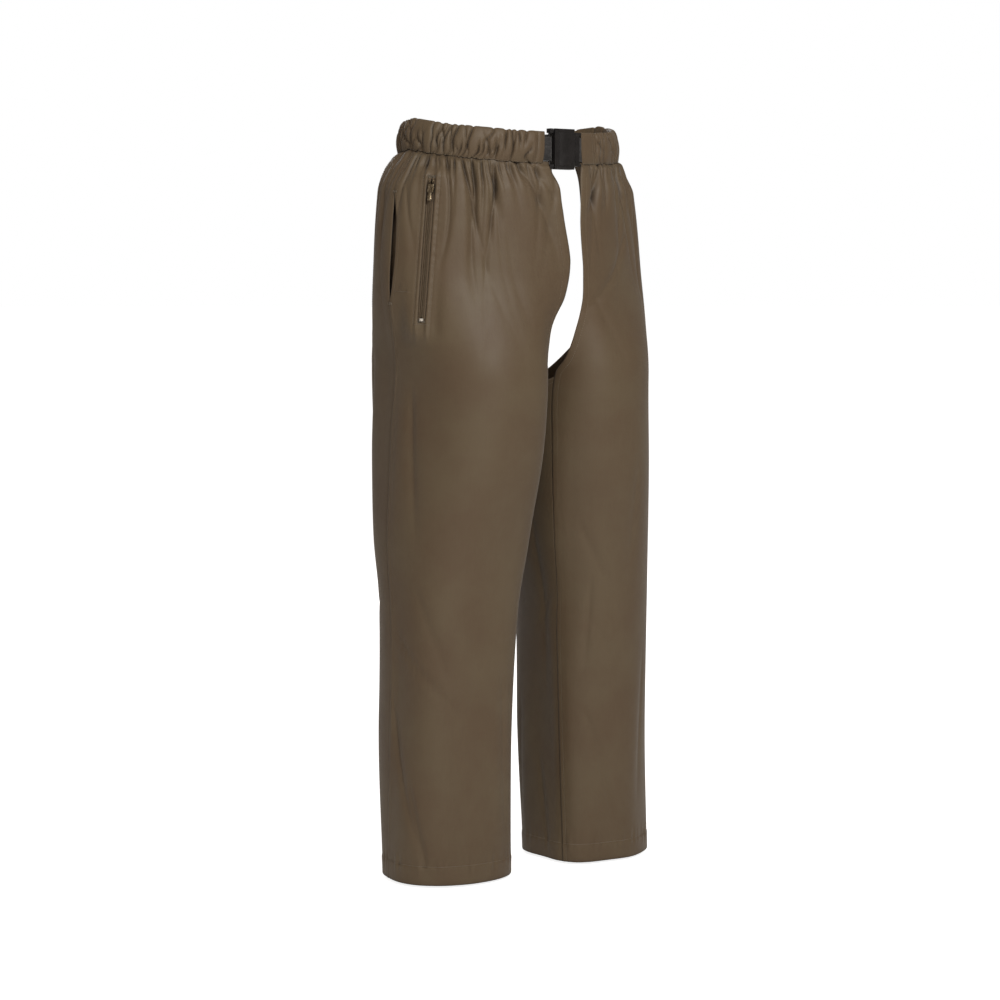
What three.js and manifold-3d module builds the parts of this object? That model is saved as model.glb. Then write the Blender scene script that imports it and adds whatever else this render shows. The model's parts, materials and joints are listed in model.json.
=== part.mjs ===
// Chainsaw chaps: two separate over-trouser legs with an open front and an open seat, hung from a
// gathered elastic waistband that closes in front with a side-release webbing buckle.
// Millimetres. +Z is up, the wearer faces -Y and the wearer's right side is -X.
// The origin is the centre of the waist, just above the waistband's upper edge at the sides.
import * as THREE from 'three';
import Module from 'manifold-3d';
import { mergeVertices } from 'three/addons/utils/BufferGeometryUtils.js';

const wasm = await Module();
wasm.setup();

// ---------------------------------------------------------------- driving dimensions
const HEM_Z = -1033;              // height of the hems
const BAND_HEIGHT = 38;           // width of the waist elastic
const BAND_TOP = -4.4;            // height of the elastic's upper edge at the sides
const BAND_FRONT_DIP = 19;        // it drops this much from the sides to the front
const BAND_BACK_DIP = 9;          // and this much from the sides to the middle of the back
const CASING_INNER = 2.8;         // half the hollow inside the waistband casing
const CASING_OUTER = 4.0;         // half the casing's outer thickness
const ELASTIC_HALF = 0.9;         // half the elastic's thickness
const CASING_OVERHANG = 1.8;      // the casing reaches this far past the elastic, above and below
const SHELL_THICKNESS = 0.8;
const SEAM_GAP = 0.15;            // degrees left free on each side of a seam
const CLEARANCE = 0.4;            // free space between pieces that lie on each other

// The body's outline at a height: half width, half depth and centre towards the back.
const BODY = [
  [0, 157, 115, 2],
  [-46, 164, 117, 4],
  [-72, 184, 122, 9],
  [-100, 198, 126, 5],
  [-210, 209, 128, 2],
  [-330, 213, 137, 0],
  [-460, 205, 129, 0],
];
// The right leg's outline at a height: axis x and y, then how far the cloth stands from the axis
// on the outer side, the inner side, in front and behind.
const LEG = [
  [-200, -97, 0, 101, 84, 125, 123],
  [-352, -88, 0, 101, 84, 145, 137],
  [-460, -98, -3, 97, 94, 133, 128],
  [-570, -110, -6, 93, 92, 112, 110],
  [-670, -118, -13, 86, 83, 95, 96],
  [-810, -122, -14, 83, 82, 87, 96],
  [HEM_Z, -125, -20, 83, 85, 77, 83],
];
const OUTER_ROUNDNESS = 2.2;      // exponents of the leg's outline: 2 is an ellipse
const INNER_ROUNDNESS = 2.8;
const LEG_BLEND = [-190, -352];   // from the body's outline to the leg's own outline

// Seam lines, as [height, degrees]: 0 is straight ahead, 90 is the outer side, -90 the inner side.
const OUTSEAM = [[-60, 86], [-180, 84.5], [-260, 87], [-450, 97], [-705, 96], [-890, 100], [HEM_Z, 105]];
const INSEAM = [[-350, -41], [-450, -47], [-580, -54], [-720, -62], [HEM_Z, -61]];
const FRONT_EDGE = {
  right: [[-60, -35.5], [-140, -37.5], [-200, -40], [-245, -39.5], [-300, -31], [-328, -31.5], ...INSEAM],
  left: [[-60, -29], [-140, -29.5], [-245, -27], [-300, -30.7], [-328, -34.5], ...INSEAM],
};
// The open slit in each outseam, through which a hand reaches the trousers underneath.
const SLIT = { top: -105, bottom: -248, width: 4.5 };

const FRONT_COLUMNS = 12;
const BACK_COLUMNS = 18;
const ROWS = 20;
const ROW_CROWDING = 1.2;         // above 1 the rows lie closer together near the waist

const PAD_PLIES = 3;
const PLY_THICKNESS = 1.4;
const PAD_ROWS = [8, 19];
const LINING_ROWS = [7, 19];
const LINING_THICKNESS = 0.6;
const INSET_COLUMNS = [1, 11];    // the pads and linings stay one column inside the front panel

const SEAT_EDGE_Y = 66;           // the back panels end here above the thigh

const CASING_FRONT = { right: -9.3, left: 12.9 };   // degrees round the waist where the casings end
const CASING_BACK = 118;
const BAND_STEP = 7.5;            // degrees between the band's sections

const ZIP = { top: -85, bottom: -275, topAngle: 52.9, bottomAngle: 58.9, stand: 2.5 };
const ZIP_TAPE = { inner: 0.9, outer: 7.2, thickness: 0.7 };
const ZIP_CHAIN = { width: 4.6, low: 0.5, high: 2.6 };
const ZIP_END = 5;                // the chain ends this far inside the tapes

const BUCKLE = { x: 4, y: -113, z: -44.4 };
const SOCKET = { half: 16, depth: 6, wall: 1.8, sideWall: 1.6, barX: -21.5, tall: 27, railFrom: 21 };
const PLUG = { start: 16.6, end: 25, depth: 5, barX: 28.5, tall: 22.5, railFrom: 19 };
const PRONG = { tip: -9, root: 15.9, window: 23, low: 14.5, high: 24.9, halfDepth: 2.8 };
const BAR_RADIUS = 1.5;
const BAR_Y = 1.2;                // the webbing bars lie behind the buckle's middle plane
const WEBBING = { thickness: 1.1, halfGap: 0.2, half: 16, reach: 53, slack: 0.5 };

// ---------------------------------------------------------------- materials
const material = (name, color, roughness, metalness = 0) =>
  new THREE.MeshStandardMaterial({ name, color, roughness, metalness });
const shellCloth = material('shell_cloth', 0x6a5c4b, 0.62);
const liningCloth = material('lining_cloth', 0x4a4034, 0.8);
const padCloth = material('pad_fibre', 0xd9d4c4, 0.9);
const elasticBlack = material('black_elastic', 0x1c1c1e, 0.85);
const webbingBlack = material('black_webbing', 0x1d1d1f, 0.75);
const plasticBlack = material('black_plastic', 0x2a292a, 0.38);
const zipTape = material('zip_tape', 0x57493a, 0.8);
const zipCoil = material('zip_coil', 0x3b3128, 0.5);
const zipMetal = material('zip_metal', 0x8d8476, 0.35, 0.9);

// ---------------------------------------------------------------- numbers along a height
// Smooth values between the rows of a table whose first column is a falling height.
function atHeight(table, z) {
  const t = THREE.MathUtils.clamp(z, table[table.length - 1][0], table[0][0]);
  let i = 0;
  while (i < table.length - 2 && t < table[i + 1][0]) i += 1;
  const width = table[i + 1][0] - table[i][0];
  const u = (t - table[i][0]) / width;
  return table[i].slice(1).map((value, k) => {
    const slope = (n) => (table[n + 1][k + 1] - table[n][k + 1]) / (table[n + 1][0] - table[n][0]);
    const tangent = (n) => {
      if (n === 0) return slope(0);
      if (n === table.length - 1) return slope(n - 1);
      const product = slope(n - 1) * slope(n);
      return product > 0 ? (2 * product) / (slope(n - 1) + slope(n)) : 0;
    };
    const next = table[i + 1][k + 1];
    return (2 * u ** 3 - 3 * u ** 2 + 1) * value + (u ** 3 - 2 * u ** 2 + u) * width * tangent(i)
      + (3 * u ** 2 - 2 * u ** 3) * next + (u ** 3 - u ** 2) * width * tangent(i + 1);
  });
}

// ---------------------------------------------------------------- the right leg's cloth surface
// Distance from the leg's axis to the body's ellipse, along the direction of angle.
function reachToBody(angle, z, axisX, axisY) {
  const [halfWidth, halfDepth, centreY] = atHeight(BODY, z);
  const dx = -Math.sin(angle) / halfWidth;
  const dy = -Math.cos(angle) / halfDepth;
  const ox = axisX / halfWidth;
  const oy = (axisY - centreY) / halfDepth;
  const a = dx * dx + dy * dy;
  const b = ox * dx + oy * dy;
  const c = ox * ox + oy * oy - 1;
  return (-b + Math.sqrt(b * b - a * c)) / a;
}

// Distance from the leg's axis to the leg's own rounded outline.
function reachToLeg(angle, leg) {
  const [, , outer, inner, front, behind] = leg;
  const side = Math.sin(angle);
  const ahead = Math.cos(angle);
  const power = side > 0 ? OUTER_ROUNDNESS : INNER_ROUNDNESS;
  const across = Math.abs(side) / (side > 0 ? outer : inner);
  const along = Math.abs(ahead) / (ahead > 0 ? front : behind);
  return (across ** power + along ** power) ** (-1 / power);
}

function surfacePoint(degrees, z) {
  const angle = THREE.MathUtils.degToRad(degrees);
  const leg = atHeight(LEG, z);
  const blend = THREE.MathUtils.smoothstep(-z, -LEG_BLEND[0], -LEG_BLEND[1]);
  const body = reachToBody(angle, z, leg[0], leg[1]);
  const reach = THREE.MathUtils.lerp(body, reachToLeg(angle, leg), blend);
  return new THREE.Vector3(leg[0] - reach * Math.sin(angle), leg[1] - reach * Math.cos(angle), z);
}

function surfaceNormal(degrees, z) {
  const round = surfacePoint(degrees + 1, z).sub(surfacePoint(degrees - 1, z));
  const down = surfacePoint(degrees, z - 4).sub(surfacePoint(degrees, z + 4));
  return round.cross(down).normalize();
}

const offsetPoint = (degrees, z, distance) =>
  surfacePoint(degrees, z).addScaledVector(surfaceNormal(degrees, z), distance);

// ---------------------------------------------------------------- the waistband's surface
// Degrees round the waist: 0 is the middle of the front, -90 the wearer's right, 90 the left.
function bandTop(degrees) {
  const ahead = Math.cos(THREE.MathUtils.degToRad(degrees));
  return BAND_TOP - (ahead > 0 ? BAND_FRONT_DIP : BAND_BACK_DIP) * Math.abs(ahead);
}

// A point at depth below the band's upper edge and at distance outside its middle surface.
function bandPoint(degrees, depth, distance) {
  const angle = THREE.MathUtils.degToRad(degrees);
  const z = bandTop(degrees) - depth;
  const [halfWidth, halfDepth, centreY] = atHeight(BODY, z);
  const x = (halfWidth + distance) * Math.sin(angle);
  return new THREE.Vector3(x, centreY - (halfDepth + distance) * Math.cos(angle), z);
}

// The cloth hangs from just below the casing.
const NEAR_TOP = -65;             // a height close to the cloth's upper edge all round

function clothTop(degrees) {
  const p = surfacePoint(degrees, NEAR_TOP);
  const [halfWidth, halfDepth, centreY] = atHeight(BODY, NEAR_TOP);
  const round = Math.atan2(p.x / halfWidth, (centreY - p.y) / halfDepth);
  return bandTop(THREE.MathUtils.radToDeg(round)) - BAND_HEIGHT - CASING_OVERHANG - 3 * CLEARANCE;
}

// ---------------------------------------------------------------- closed solids from grids
function solidFrom(positions, triangles) {
  const geometry = new THREE.BufferGeometry();
  const coordinates = positions.flatMap((p) => [p.x, p.y, p.z]);
  geometry.setAttribute('position', new THREE.Float32BufferAttribute(coordinates, 3));
  geometry.setIndex(triangles.flat());
  let volume = 0;
  for (const [a, b, c] of triangles) {
    volume += positions[a].dot(positions[b].clone().cross(positions[c]));
  }
  if (volume < 0) geometry.setIndex(triangles.flatMap(([a, b, c]) => [a, c, b]));
  return geometry;
}

// A thin solid between two sheets. place(i, j, layer) gives a grid point on layer 0 or 1.
function thinSolid(columns, rows, place) {
  const positions = [];
  const triangles = [];
  const at = (i, j, layer) => (j * (columns + 1) + i) * 2 + layer;
  const quad = (a, b, c, d) => triangles.push([a, b, c], [a, c, d]);
  for (let j = 0; j <= rows; j += 1) {
    for (let i = 0; i <= columns; i += 1) {
      positions.push(place(i, j, 0), place(i, j, 1));
    }
  }
  for (let j = 0; j < rows; j += 1) {
    for (let i = 0; i < columns; i += 1) {
      quad(at(i, j, 1), at(i + 1, j, 1), at(i + 1, j + 1, 1), at(i, j + 1, 1));
      quad(at(i, j, 0), at(i, j + 1, 0), at(i + 1, j + 1, 0), at(i + 1, j, 0));
    }
  }
  for (let i = 0; i < columns; i += 1) {
    quad(at(i, 0, 0), at(i + 1, 0, 0), at(i + 1, 0, 1), at(i, 0, 1));
    quad(at(i, rows, 0), at(i, rows, 1), at(i + 1, rows, 1), at(i + 1, rows, 0));
  }
  for (let j = 0; j < rows; j += 1) {
    quad(at(0, j, 0), at(0, j, 1), at(0, j + 1, 1), at(0, j + 1, 0));
    quad(at(columns, j, 0), at(columns, j + 1, 0), at(columns, j + 1, 1), at(columns, j, 1));
  }
  return solidFrom(positions, triangles);
}

// A sleeve open at both ends. place(step, k, layer): layer 0 is the hollow, 1 the outside.
function sleeve(steps, sides, place) {
  const positions = [];
  const triangles = [];
  const at = (n, k, layer) => (n * sides + (k % sides)) * 2 + layer;
  const quad = (a, b, c, d) => triangles.push([a, b, c], [a, c, d]);
  for (let n = 0; n <= steps; n += 1) {
    for (let k = 0; k < sides; k += 1) positions.push(place(n, k, 0), place(n, k, 1));
  }
  for (let k = 0; k < sides; k += 1) {
    for (let n = 0; n < steps; n += 1) {
      quad(at(n, k, 1), at(n + 1, k, 1), at(n + 1, k + 1, 1), at(n, k + 1, 1));
      quad(at(n, k, 0), at(n, k + 1, 0), at(n + 1, k + 1, 0), at(n + 1, k, 0));
    }
    quad(at(0, k, 0), at(0, k, 1), at(0, k + 1, 1), at(0, k + 1, 0));
    quad(at(steps, k, 0), at(steps, k + 1, 0), at(steps, k + 1, 1), at(steps, k, 1));
  }
  return solidFrom(positions, triangles);
}

// ---------------------------------------------------------------- joins and cuts
function toManifold(source) {
  const bare = source.clone();
  bare.deleteAttribute('normal');
  bare.deleteAttribute('uv');
  const merged = mergeVertices(bare, 1e-4);
  const mesh = new wasm.Mesh({
    numProp: 3,
    vertProperties: Float32Array.from(merged.attributes.position.array),
    triVerts: Uint32Array.from(merged.index.array),
  });
  return new wasm.Manifold(mesh);
}

function toGeometry(manifold) {
  const mesh = manifold.getMesh();
  const geometry = new THREE.BufferGeometry();
  geometry.setAttribute('position', new THREE.BufferAttribute(mesh.vertProperties.slice(), 3));
  geometry.setIndex(new THREE.BufferAttribute(mesh.triVerts.slice(), 1));
  return geometry;
}

const join = (...parts) => toGeometry(parts.map(toManifold).reduce((a, b) => a.add(b)));
const cut = (whole, ...tools) =>
  toGeometry(tools.map(toManifold).reduce((a, b) => a.subtract(b), toManifold(whole)));

// A box from its lowest to its highest corner.
function box(low, high) {
  const size = high.map((value, k) => value - low[k]);
  const middle = high.map((value, k) => (value + low[k]) / 2);
  return new THREE.BoxGeometry(...size).translate(...middle);
}

// A bar along Z, or a roller along X when across is true.
function rod(radius, length, across = false) {
  const geometry = new THREE.CylinderGeometry(radius, radius, length, 12);
  return across ? geometry.rotateZ(Math.PI / 2) : geometry.rotateX(Math.PI / 2);
}

// ---------------------------------------------------------------- meshes and mirroring
const group = new THREE.Group();

function add(name, geometry, look, parent = group) {
  const mesh = new THREE.Mesh(geometry, look);
  mesh.name = name;
  parent.add(mesh);
  return mesh;
}

// The left leg's pieces are drawn as right ones and mirrored through the middle plane.
function forSide(side, geometry) {
  if (side === 'right') return geometry;
  const mirrored = geometry.clone().scale(-1, 1, 1);
  const index = mirrored.index.array;
  for (let t = 0; t < index.length; t += 3) [index[t + 1], index[t + 2]] = [index[t + 2], index[t + 1]];
  return mirrored;
}

// ---------------------------------------------------------------- leg panels
const rowFraction = (row) => (row / ROWS) ** ROW_CROWDING;

function rowHeight(row, degrees) {
  return THREE.MathUtils.lerp(clothTop(degrees), HEM_Z, rowFraction(row));
}

const roughHeight = (row) => THREE.MathUtils.lerp(NEAR_TOP, HEM_Z, rowFraction(row));

function slitOpening(z) {
  if (z > SLIT.top || z < SLIT.bottom) return 0;
  return SLIT.width * Math.sin((Math.PI * (SLIT.top - z)) / (SLIT.top - SLIT.bottom)) ** 0.6;
}

// The front panel's lattice: column 0 is the front edge or inseam, the last one the outseam.
function frontPoint(side, column, row, distance) {
  const z = roughHeight(row);
  const from = atHeight(FRONT_EDGE[side], z)[0] + SEAM_GAP;
  const to = atHeight(OUTSEAM, z)[0] - SEAM_GAP;
  let degrees = THREE.MathUtils.lerp(from, to, column / FRONT_COLUMNS);
  if (column === FRONT_COLUMNS) degrees -= slitOpening(z);
  return offsetPoint(degrees, rowHeight(row, degrees), distance);
}

// A layer of the front panel's lattice between two distances from the cloth surface.
function frontLayer(side, [firstColumn, lastColumn], [firstRow, lastRow], near, far) {
  return thinSolid(lastColumn - firstColumn, lastRow - firstRow, (i, j, layer) =>
    frontPoint(side, firstColumn + i, firstRow + j, layer ? far : near));
}

function backLayer(side) {
  return thinSolid(BACK_COLUMNS, ROWS, (i, j, layer) => {
    const z = roughHeight(j);
    const from = atHeight(OUTSEAM, z)[0] + SEAM_GAP;
    const to = 360 + atHeight(FRONT_EDGE[side], z)[0] - SEAM_GAP;
    const degrees = THREE.MathUtils.lerp(from, to, i / BACK_COLUMNS);
    return offsetPoint(degrees, rowHeight(j, degrees), layer ? 0 : -SHELL_THICKNESS);
  });
}

// What is cut away over the seat: everything behind SEAT_EDGE_Y above a curve round the thigh.
function seatCutter() {
  const outline = new THREE.Shape();
  outline.moveTo(-240, 40);
  outline.lineTo(-240, -290);
  outline.lineTo(-187, -292);
  outline.bezierCurveTo(-172, -305, -160, -370, -95, -380);
  outline.lineTo(240, -380);
  outline.lineTo(240, 40);
  const tool = new THREE.ExtrudeGeometry(outline, { depth: 140, bevelEnabled: false, curveSegments: 8 });
  return tool.rotateX(Math.PI / 2).translate(0, SEAT_EDGE_Y + 140, 0);
}

// The inner thigh is open above a curve from the crotch to the back of the leg.
function crotchCutter() {
  const outline = new THREE.Shape();
  outline.moveTo(-160, -346);
  outline.lineTo(-98, -346);
  outline.quadraticCurveTo(-40, -372, 40, -379);
  outline.lineTo(200, -380);
  outline.lineTo(200, 60);
  outline.lineTo(-160, 60);
  const tool = new THREE.ExtrudeGeometry(outline, { depth: 340, bevelEnabled: false, curveSegments: 6 });
  return tool.rotateX(Math.PI / 2).rotateZ(Math.PI / 2).translate(-95, 0, 0);
}

// ---------------------------------------------------------------- the zip's own frame
const zipTopPoint = offsetPoint(ZIP.topAngle, ZIP.top, ZIP.stand);
const zipBottomPoint = offsetPoint(ZIP.bottomAngle, ZIP.bottom, ZIP.stand);
const zipLength = zipTopPoint.distanceTo(zipBottomPoint);
// Local axes: X across the zip, Y up along it, Z out of the cloth. The local origin is its lower end.
function zipFrame() {
  const up = zipTopPoint.clone().sub(zipBottomPoint).normalize();
  const middleAngle = (ZIP.topAngle + ZIP.bottomAngle) / 2;
  const out = surfaceNormal(middleAngle, (ZIP.top + ZIP.bottom) / 2);
  const across = up.clone().cross(out).normalize();
  const frame = new THREE.Matrix4().makeBasis(across, up, across.clone().cross(up));
  return frame.setPosition(zipBottomPoint);
}

const zipSlot = box([-ZIP_TAPE.outer - CLEARANCE, -1, -12], [ZIP_TAPE.outer + CLEARANCE, zipLength + 1, 12])
  .applyMatrix4(zipFrame());

// The panels' upper front corners leave room for the buckle.
const buckleRoom = box([-22.5, -150, -74], [39.5, -90, -34]);

for (const side of ['right', 'left']) {
  const whole = forSide(side, frontLayer(side, [0, FRONT_COLUMNS], [0, ROWS], -SHELL_THICKNESS, 0));
  const front = side === 'right' ? cut(whole, zipSlot, buckleRoom) : cut(whole, buckleRoom);
  add(`${side}_front_panel`, front, shellCloth);
  const back = cut(backLayer(side), seatCutter(), crotchCutter());
  add(`${side}_back_panel`, forSide(side, back), shellCloth);

  let depth = -SHELL_THICKNESS - CLEARANCE;
  for (let ply = 1; ply <= PAD_PLIES; ply += 1) {
    const layer = frontLayer(side, INSET_COLUMNS, PAD_ROWS, depth - PLY_THICKNESS, depth);
    add(`${side}_pad_ply_${ply}`, forSide(side, layer), padCloth);
    depth -= PLY_THICKNESS + CLEARANCE;
  }
  const lining = frontLayer(side, INSET_COLUMNS, LINING_ROWS, depth - LINING_THICKNESS, depth);
  add(`${side}_lining`, forSide(side, lining), liningCloth);
}

// ---------------------------------------------------------------- pocket bag and slit facings
const POCKET = { columns: [6, 10], rows: [1, 6], depth: 7 };
const pocketBack = -POCKET.depth - LINING_THICKNESS;
add('pocket_bag', frontLayer('right', POCKET.columns, POCKET.rows, pocketBack, -POCKET.depth), liningCloth);

const FACING = { columns: 3, rows: 6, behind: 5, ahead: 13, near: -6.0, far: -5.2, overlap: 8 };
for (const side of ['right', 'left']) {
  const facing = thinSolid(FACING.columns, FACING.rows, (i, j, layer) => {
    const high = SLIT.top + FACING.overlap;
    const low = SLIT.bottom - FACING.overlap;
    const z = THREE.MathUtils.lerp(high, low, j / FACING.rows);
    const seam = atHeight(OUTSEAM, z)[0];
    const degrees = THREE.MathUtils.lerp(seam - FACING.ahead, seam + FACING.behind, i / FACING.columns);
    return offsetPoint(degrees, z, layer ? FACING.far : FACING.near);
  });
  add(`${side}_slit_facing`, forSide(side, facing), shellCloth);
}

// ---------------------------------------------------------------- waistband
// The band's sections sit at whole steps, with the two ends wherever the piece ends.
function bandAngles(from, to) {
  const angles = [from];
  for (let a = Math.ceil(from / BAND_STEP + 0.3) * BAND_STEP; a < to - 0.3 * BAND_STEP; a += BAND_STEP) {
    angles.push(a);
  }
  return [...angles, to];
}

function casing(from, to) {
  const angles = bandAngles(from, to);
  const low = -CASING_OVERHANG;
  const high = BAND_HEIGHT + CASING_OVERHANG;
  const middle = BAND_HEIGHT / 2;
  const loop = [[low, 1], [middle, 1], [high, 1], [high, -1], [middle, -1], [low, -1]];
  const cloth = CASING_OUTER - CASING_INNER;
  return sleeve(angles.length - 1, loop.length, (n, k, layer) => {
    const [depth, face] = loop[k];
    const inset = depth === middle ? 0 : Math.sign(depth - middle) * cloth;
    const inner = [depth - inset, face * CASING_INNER];
    const [d, t] = layer ? [depth, face * CASING_OUTER] : inner;
    return bandPoint(angles[n], d, t);
  });
}

function elastic(from, to) {
  const angles = bandAngles(from, to);
  const depths = [1, BAND_HEIGHT / 2, BAND_HEIGHT - 1];
  return thinSolid(angles.length - 1, depths.length - 1, (i, j, layer) =>
    bandPoint(angles[i], depths[j], layer ? ELASTIC_HALF : -ELASTIC_HALF));
}

const ELASTIC_FRONT = { right: -20.5, left: 22.5 };  // where the elastic is sewn to the webbing
const ELASTIC_SEAM = CASING_BACK - 4;                // where it is sewn to the back elastic
const BUTT = 0.4;                 // degrees left free where two pieces are sewn end to end
add('right_waist_casing', casing(-CASING_BACK, CASING_FRONT.right), shellCloth);
add('left_waist_casing', casing(CASING_FRONT.left, CASING_BACK), shellCloth);
add('right_waist_elastic', elastic(-ELASTIC_SEAM, ELASTIC_FRONT.right), elasticBlack);
add('left_waist_elastic', elastic(ELASTIC_FRONT.left, ELASTIC_SEAM), elasticBlack);
add('back_waist_elastic', elastic(ELASTIC_SEAM + BUTT, 360 - ELASTIC_SEAM - BUTT), elasticBlack);

// ---------------------------------------------------------------- buckle webbing
// A strip folded round a buckle bar: both plies run back into the casing along the band.
function webbingLoop(direction, barX, mouth) {
  const innerRadius = BAR_RADIUS + WEBBING.slack;
  const midline = (x) => {
    const [halfWidth, halfDepth, centreY] = atHeight(BODY, BUCKLE.z);
    return centreY - halfDepth * Math.sqrt(1 - (x / halfWidth) ** 2);
  };
  const far = direction * WEBBING.reach;
  const stations = [far, (far + mouth) / 2, mouth];
  const ply = (face, distance) =>
    stations.map((x) => new THREE.Vector2(x, midline(x) + face * distance));
  const barY = BUCKLE.y + BAR_Y;
  const bend = (radius, forward) => [-90, -60, -30, 0, 30, 60, 90].map((degrees) => {
    const a = THREE.MathUtils.degToRad(forward ? degrees : -degrees);
    return new THREE.Vector2(barX - direction * radius * Math.cos(a), barY + radius * Math.sin(a));
  });
  const outer = WEBBING.halfGap + WEBBING.thickness;
  const outline = [
    ...ply(-1, outer),
    ...bend(innerRadius + WEBBING.thickness, true),
    ...ply(1, outer).reverse(),
    ...ply(1, WEBBING.halfGap),
    ...bend(innerRadius, false),
    ...ply(-1, WEBBING.halfGap).reverse(),
  ];
  const settings = { depth: 2 * WEBBING.half, bevelEnabled: false };
  const strip = new THREE.ExtrudeGeometry(new THREE.Shape(outline), settings);
  return strip.translate(0, 0, BUCKLE.z - WEBBING.half);
}

add('right_buckle_webbing', webbingLoop(-1, BUCKLE.x + SOCKET.barX, -27), webbingBlack);
add('left_buckle_webbing', webbingLoop(1, BUCKLE.x + PLUG.barX, 39), webbingBlack);

// ---------------------------------------------------------------- side-release buckle
// Local axes: X along the belt, Z up. The socket is on the wearer's right, the plug on the left.
const buckle = new THREE.Group();
buckle.position.set(BUCKLE.x, BUCKLE.y, BUCKLE.z);
group.add(buckle);

// A box between two heights above the middle, or below it when sign is negative.
function boxOnSide(sign, [x0, x1], halfDepth, [z0, z1]) {
  const [low, high] = sign > 0 ? [z0, z1] : [-z1, -z0];
  return box([x0, -halfDepth, low], [x1, halfDepth, high]);
}

function socketGeometry() {
  const { half, depth, wall, sideWall, barX, tall, railFrom } = SOCKET;
  const rails = [1, -1].map((sign) => boxOnSide(sign, [barX - 2.5, -half + 1], 4, [railFrom, tall]));
  const bar = rod(BAR_RADIUS, 2 * tall - 4).translate(barX, BAR_Y, 0);
  const body = box([-half, -depth, -tall], [half, depth, tall]);
  const lip = box([-half - 1.5, -depth - 0.9, -tall], [-half + 2, depth + 0.5, tall]);
  const panel = box([-10, -depth - 0.7, -tall + 5], [11, -depth + 0.5, tall - 5]);
  const solid = join(body, lip, ...rails, bar, panel);
  const cavityLow = [-half + 4, -depth + wall, -tall + sideWall];
  const cavityHigh = [half + 1, depth - wall, tall - sideWall];
  const windows = [1, -1].map((sign) => boxOnSide(sign, [-7, 8], 3.2, [PRONG.window, tall + 1]));
  const notch = box([6, -depth - 1, -8], [12, -depth, 8]);
  return cut(solid, box(cavityLow, cavityHigh), ...windows, notch);
}

function plugGeometry() {
  const { start, end, depth, barX, tall, railFrom } = PLUG;
  const flange = box([start, -depth, -tall], [end, depth, tall]);
  const tongue = box([-8, -2.4, -9], [start + 1, 2.4, 9]);
  const rails = [1, -1].map((sign) => boxOnSide(sign, [end - 1, barX + 1.5], 3, [railFrom, tall]));
  const bar = rod(BAR_RADIUS, 2 * tall - 4).translate(barX, BAR_Y, 0);
  const ribs = [-15, -9, -3, 3, 9, 15].map((z) =>
    box([start + 1, -depth - 0.7, z - 1.2], [end - 1, 0, z + 1.2]));
  return join(flange, tongue, ...rails, bar, ...ribs);
}

// A sprung arm whose outer end shows in the socket's side window.
function prongGeometry(sign) {
  const { tip, root, low, high, halfDepth } = PRONG;
  const outline = new THREE.Shape();
  outline.moveTo(root, low);
  outline.lineTo(root, low + 4);
  outline.lineTo(7, low + 6);
  outline.lineTo(6.5, high);
  outline.lineTo(-3, high);
  outline.lineTo(tip, high - 4.9);
  outline.lineTo(tip, low + 2);
  outline.lineTo(2, low + 2);
  const arm = new THREE.ExtrudeGeometry(outline, { depth: 2 * halfDepth, bevelEnabled: false });
  return arm.translate(0, 0, -halfDepth).rotateX((sign * Math.PI) / 2);
}

add('buckle_socket', socketGeometry(), plasticBlack, buckle);
add('buckle_plug', plugGeometry(), plasticBlack, buckle);
add('buckle_prong_upper', prongGeometry(1), plasticBlack, buckle);
add('buckle_prong_lower', prongGeometry(-1), plasticBlack, buckle);

// ---------------------------------------------------------------- pocket zip
const zip = new THREE.Group();
zip.applyMatrix4(zipFrame());
group.add(zip);

const chainTop = zipLength - ZIP_END - 11;
const SLIDER_Y = chainTop + 1;    // the slider's middle when the pocket is shut
const PULL_PIVOT = { y: SLIDER_Y + 1.5, z: 6.3 };

// A block on one side of the zip's middle line, from near to far off that line.
const beside = (sign, [near, far], [y0, y1], [z0, z1]) =>
  box([sign > 0 ? near : -far, y0, z0], [sign > 0 ? far : -near, y1, z1]);

for (const [name, sign] of [['front', -1], ['rear', 1]]) {
  const { inner, outer, thickness } = ZIP_TAPE;
  const tape = beside(sign, [inner, outer], [0, zipLength], [-thickness, 0]);
  add(`zip_tape_${name}`, tape, zipTape, zip);
  const stop = beside(sign, [1.2, 2.9], [zipLength - 7.5, zipLength - 4], [0.4, 2.4]);
  add(`zip_top_stop_${name}`, stop, zipMetal, zip);
}
const halfChain = ZIP_CHAIN.width / 2;
const chain = box([-halfChain, ZIP_END, ZIP_CHAIN.low], [halfChain, chainTop, ZIP_CHAIN.high]);
add('zip_chain', chain, zipCoil, zip);
add('zip_bottom_stop', box([-2.6, 0.8, 0.4], [2.6, ZIP_END - 0.4, 2.8]), zipMetal, zip);

function sliderGeometry() {
  const plate = box([-4.2, -5.5, 3.0], [4.2, 5.5, 4.1]);
  const flanges = [1, -1].map((sign) => beside(sign, [2.8, 4.2], [-5.5, 5.5], [0.5, 3.2]));
  const posts = [1, -1].map((sign) => beside(sign, [1.7, 2.7], [0.4, 2.6], [3.9, 7.1]));
  const pin = rod(0.6, 4.6, true).translate(0, 1.5, PULL_PIVOT.z);
  return join(plate, ...flanges, ...posts, pin);
}

function pullGeometry() {
  const eye = rod(1.7, 2.6, true);
  const neck = box([-1.3, -6, -0.5], [1.3, -0.8, 0.5]);
  const outline = new THREE.Shape();
  outline.moveTo(-1.6, -4.5);
  outline.lineTo(-2.8, -17);
  outline.quadraticCurveTo(0, -20.5, 2.8, -17);
  outline.lineTo(1.6, -4.5);
  const leaf = new THREE.ExtrudeGeometry(outline, { depth: 1.1, bevelEnabled: false }).translate(0, 0, -0.55);
  return cut(join(eye, neck, leaf), rod(1.0, 4, true));
}

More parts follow.
